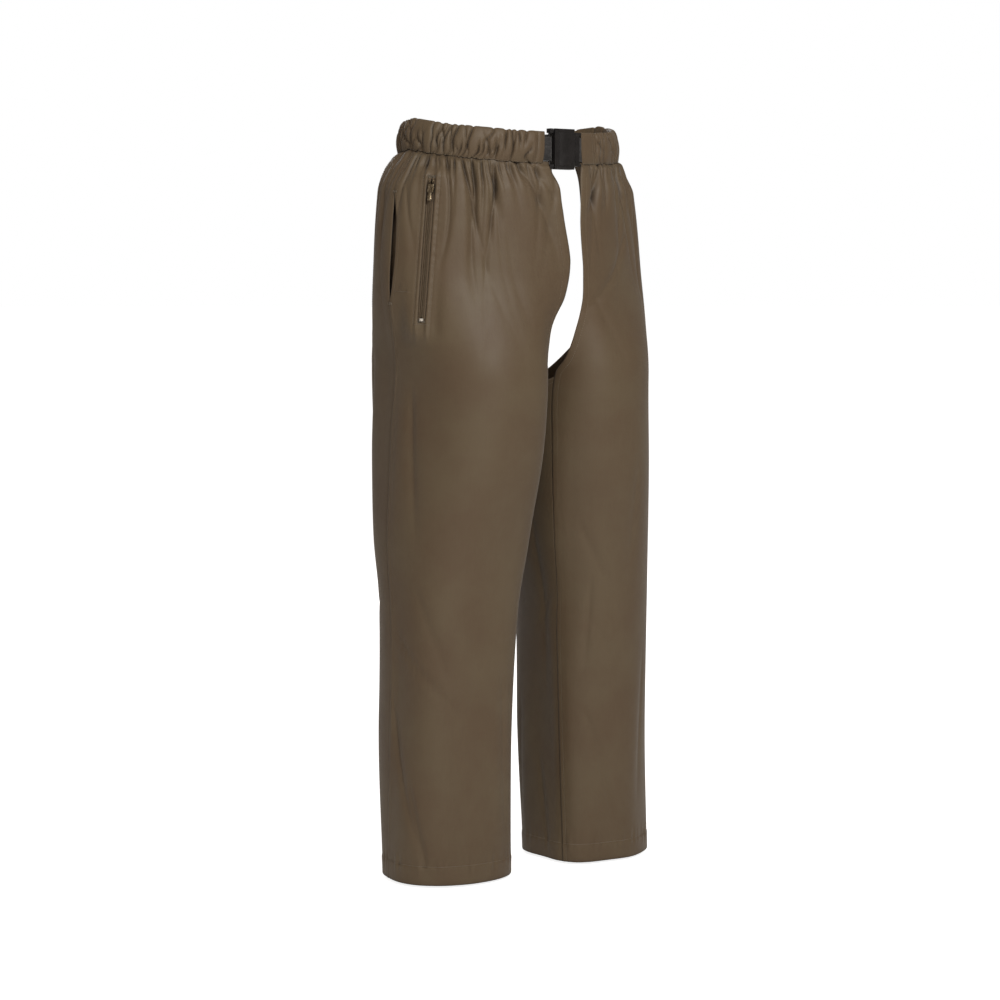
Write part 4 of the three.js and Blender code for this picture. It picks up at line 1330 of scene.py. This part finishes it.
def zip_tapes():
    """The two tapes, with a faint weave on their faces."""
    made = []
    for name, low, high in (("front", -TAPE_OUTER, -TAPE_INNER), ("rear", TAPE_INNER, TAPE_OUTER)):
        s, along = np.broadcast_arrays(np.linspace(low, high, 15), np.linspace(0, ZIP_LENGTH, 161)[:, None])
        face = 0.1 * np.sin(s * 5.0) + 0.05 * np.sin(along * 3.1) - 0.12
        top, bottom = zip_point(s, along, face), zip_point(s, along, np.full_like(s, -TAPE_THICK))
        made.append(sheet_piece(f"tape_{name}", "right", top, bottom, flat_uv(s, along), tape_cloth_lightened,
                                "zip_tape", f"zip_tape_{name}", flip=True))
    return made


def zip_teeth():
    """The coil: two rows of bent loops that mesh along the middle line."""
    low, high = node_span("zip_chain")
    points, faces, count = [], [], 0
    profile = [(0.35, -0.25), (0.55, 0.35), (1.1, 0.95), (1.75, 0.95), (2.15, 0.35), (2.25, -0.5)]
    tube = tube_faces(len(profile))
    for side in (-1, 1):
        for along in np.arange(low + 0.8, high - 0.6, TOOTH_PITCH):
            shift = along + (0 if side > 0 else TOOTH_PITCH / 2)
            ring = []
            for s, rise in profile:
                lean = (s - 1.2) * 0.22 * side
                for turn in (0, 90, 180, 270):
                    a = math.radians(turn)
                    ring.append([side * (s - 0.35), shift + lean + 0.46 * math.cos(a),
                                 1.45 + rise + 0.42 * math.sin(a)])
            local = np.array(ring)
            points.append(zip_point(local[:, 0], local[:, 1], local[:, 2]))
            faces.append(count + (tube if side > 0 else tube[:, ::-1]))
            count += len(ring)
    piece = make_mesh("coil_teeth", np.concatenate(points), np.concatenate(faces))
    return finish_piece(piece, zip_coil, "right_half", "zip_coil", ["zip_chain"])


def node_span(node):
    """Lowest and highest place of a CAD node along the zip."""
    corners = np.array([v.co for v in frame["nodes"][node].data.vertices], float) / MM
    along = (corners - ZIP_ORIGIN) @ zip_up
    return float(along.min()), float(along.max())


# ---------------------------------------------------------------- carried-over hard pieces
BEVEL_ANGLE = math.radians(28)
WELD_REACH = 0.00002              # metres


def soften(node, material, slot, width):
    """A CAD piece keeps its mesh; welded, bevelled edges and a moulded or metal finish are added."""
    piece = frame["nodes"][node]
    piece.data.materials.clear()
    piece.data.materials.append(material)
    weld = piece.modifiers.new("weld", "WELD")
    weld.merge_threshold = WELD_REACH
    bevel = piece.modifiers.new("bevel", "BEVEL")
    bevel.width = width
    bevel.segments = 2
    bevel.limit_method = "ANGLE"
    bevel.angle_limit = BEVEL_ANGLE
    bevel.harden_normals = True
    for polygon in piece.data.polygons:
        polygon.use_smooth = True
    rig.slot(piece, slot)
    return piece


# ---------------------------------------------------------------- build everything
sheets = []
for side in ("right", "left"):
    front = front_panel(side)
    back = back_panel(side)
    sheets.append((front, 0.30, 1.00, "gathered", [f"waist_casing_{side}"]))
    sheets.append((back, 0.42, 1.00, "hung", [f"shell_front_{side}"]))
    for piece in inner_layers(side):
        sheets.append((piece, 0.22, 0.64, "hung", [front]))
    sheets.append((slit_facing(side), 0.037, 0.165, "hung", [front]))
    sheets.append((casing(side), 0.094, 0.48, "gathered", [f"waist_elastic_{side}"]))
    stitch_side(side)

bag = inset_layer("pocket_lining", "right", (6 / 12, 10 / 12), (-70.0, -293), -7.0, LINING_THICK,
                  lining_cloth, "lining_cloth", 0.4, "pocket_bag")
sheets.append((bag, 0.10, 0.21, "hung", ["shell_front_right"]))

for side, sign in (("right", 1), ("left", -1)):
    angles = np.append(np.arange(ELASTIC_FRONT[side], CASING_BACK - 4, 0.9), CASING_BACK - 4)
    strip = elastic_strip(f"waist_elastic_{side}", angles * sign, f"{side}_half", f"{side}_waist_elastic", 71)
    sheets.append((strip, 0.038, 0.26, "stretched", [f"waist_casing_{side}"]))
back_angles = np.linspace(CASING_BACK - 3.6, 360 - CASING_BACK + 3.6, 150)
back_elastic = elastic_strip("waist_elastic_back", back_angles, "", "back_waist_elastic", 73)
low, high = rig.box("back_waist_elastic")
reach = min(-low.x, high.x)
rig.blend(back_elastic, "right_half", "left_half", start=(-reach, 0.12, 0), end=(reach, 0.12, 0))
sheets.append((back_elastic, 0.038, 0.33, "stretched", ["waist_elastic_right", "waist_elastic_left"]))

right_web = webbing("right", -1, -17.5, -27.0, "right_buckle_webbing")
left_web = webbing("left", 1, 32.5, 39.0, "left_buckle_webbing")
sheets.append((right_web, 0.034, 0.075, "folded", ["buckle_socket"]))
sheets.append((left_web, 0.034, 0.065, "folded", ["buckle_plug"]))

for tape in zip_tapes():
    sheets.append((tape, 0.015, 0.192, "hung", ["shell_front_right"]))
zip_teeth()
soften("buckle_socket", plastic_black, "black_plastic", 0.0006)
for node in ("buckle_plug", "buckle_prong_upper", "buckle_prong_lower"):
    soften(node, plastic_black, "black_plastic", 0.0005)
for node in ("zip_slider", "zip_pull", "zip_top_stop_front", "zip_top_stop_rear"):
    soften(node, zip_metal, "zip_metal", 0.00022)
soften("zip_bottom_stop", stop_metal, "zip_metal", 0.00022)

for piece, width, length, held, rests in sheets:
    area = min(measured[piece.name], width * length)
    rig.sheet(piece, flat=(width, length), held=held, rests_on=rests, area=area)

# ---------------------------------------------------------------- floor, light and camera
FLOOR_Z = float(cad_low.z) - 0.004
FLOOR_REACH = 80.0                # metres, so that the floor's far edge is lost in the white


def floor():
    ring = [(FLOOR_REACH * math.cos(a), FLOOR_REACH * math.sin(a), FLOOR_Z)
            for a in np.linspace(0, 2 * math.pi, 97)[:-1]]
    mesh = bpy.data.meshes.new("floor")
    mesh.from_pydata(ring, [], [list(range(96))])
    plane = add_object("floor", mesh)
    look = Look("studio_floor", Roughness=0.95)
    tone = look.noise(look.place((1, 1, 1), "Object"), 3.0, 2.0)
    look.color(look.ramp(tone, (0.3, (0.86, 0.86, 0.86, 1)), (0.7, (0.9, 0.9, 0.9, 1))))
    path = look.node("ShaderNodeLightPath").outputs["Is Camera Ray"]
    look.shader.inputs["Emission Color"].default_value = (1, 1, 1, 1)
    look.tree.links.new(look.math("MULTIPLY", path, 0.86), look.shader.inputs["Emission Strength"])
    plane.data.materials.append(look.material)
    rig.stage(plane)


def aim(piece, location, direction):
    piece.location = location
    piece.rotation_mode = "QUATERNION"
    piece.rotation_quaternion = Vector(direction).to_track_quat("-Z", "Y")


def area_light(name, location, target, size, power, color=(1, 1, 1)):
    data = bpy.data.lights.new(name, "AREA")
    data.shape = "DISK"
    data.size = size
    data.energy = power
    data.color = color
    aim(add_object(name, data), location, Vector(target) - Vector(location))


def studio():
    world = bpy.data.worlds.new("studio")
    world.use_nodes = True
    background = world.node_tree.nodes["Background"]
    path = world.node_tree.nodes.new("ShaderNodeLightPath")
    seen = world.node_tree.nodes.new("ShaderNodeValToRGB")
    seen.color_ramp.elements[0].color = (0.27, 0.238, 0.21, 1)
    seen.color_ramp.elements[1].color = (1, 1, 1, 1)
    world.node_tree.links.new(path.outputs["Is Camera Ray"], seen.inputs["Fac"])
    world.node_tree.links.new(seen.outputs["Color"], background.inputs["Color"])
    bpy.context.scene.world = world
    bpy.context.scene.view_settings.view_transform = "Standard"
    middle = (0, 0, -0.5)
    area_light("key", (-0.8, -3.15, 1.8), middle, 0.9, 98, (1.0, 0.985, 0.95))
    area_light("fill", (-3.0, -1.9, 0.4), middle, 1.6, 9, (1.0, 0.92, 0.84))
    area_light("rear", (1.3, 3.2, 1.0), middle, 1.6, 30)


CAMERA_DISTANCE = 3.5
CAMERA_AROUND = math.radians(36.5)
CAMERA_HEADING = math.radians(36.272)
CAMERA_TILT = math.radians(4.948)
CAMERA_HEIGHT = -0.2226
CAMERA_LENS = 90.54


def camera():
    data = bpy.data.cameras.new("camera")
    data.sensor_width = 36.0
    data.lens = CAMERA_LENS
    seen_from = add_object("camera", data)
    away, level = -CAMERA_DISTANCE, math.cos(CAMERA_TILT)
    aim(seen_from, (away * math.sin(CAMERA_AROUND), away * math.cos(CAMERA_AROUND), CAMERA_HEIGHT),
        (math.sin(CAMERA_HEADING) * level, math.cos(CAMERA_HEADING) * level, -math.sin(CAMERA_TILT)))
    bpy.context.scene.camera = seen_from


floor()
studio()
camera()

low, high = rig.bounds()
with open("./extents.json", "w") as out:
    json.dump({"cad": [list(cad_low), list(cad_high)], "visual": [list(low), list(high)]}, out)
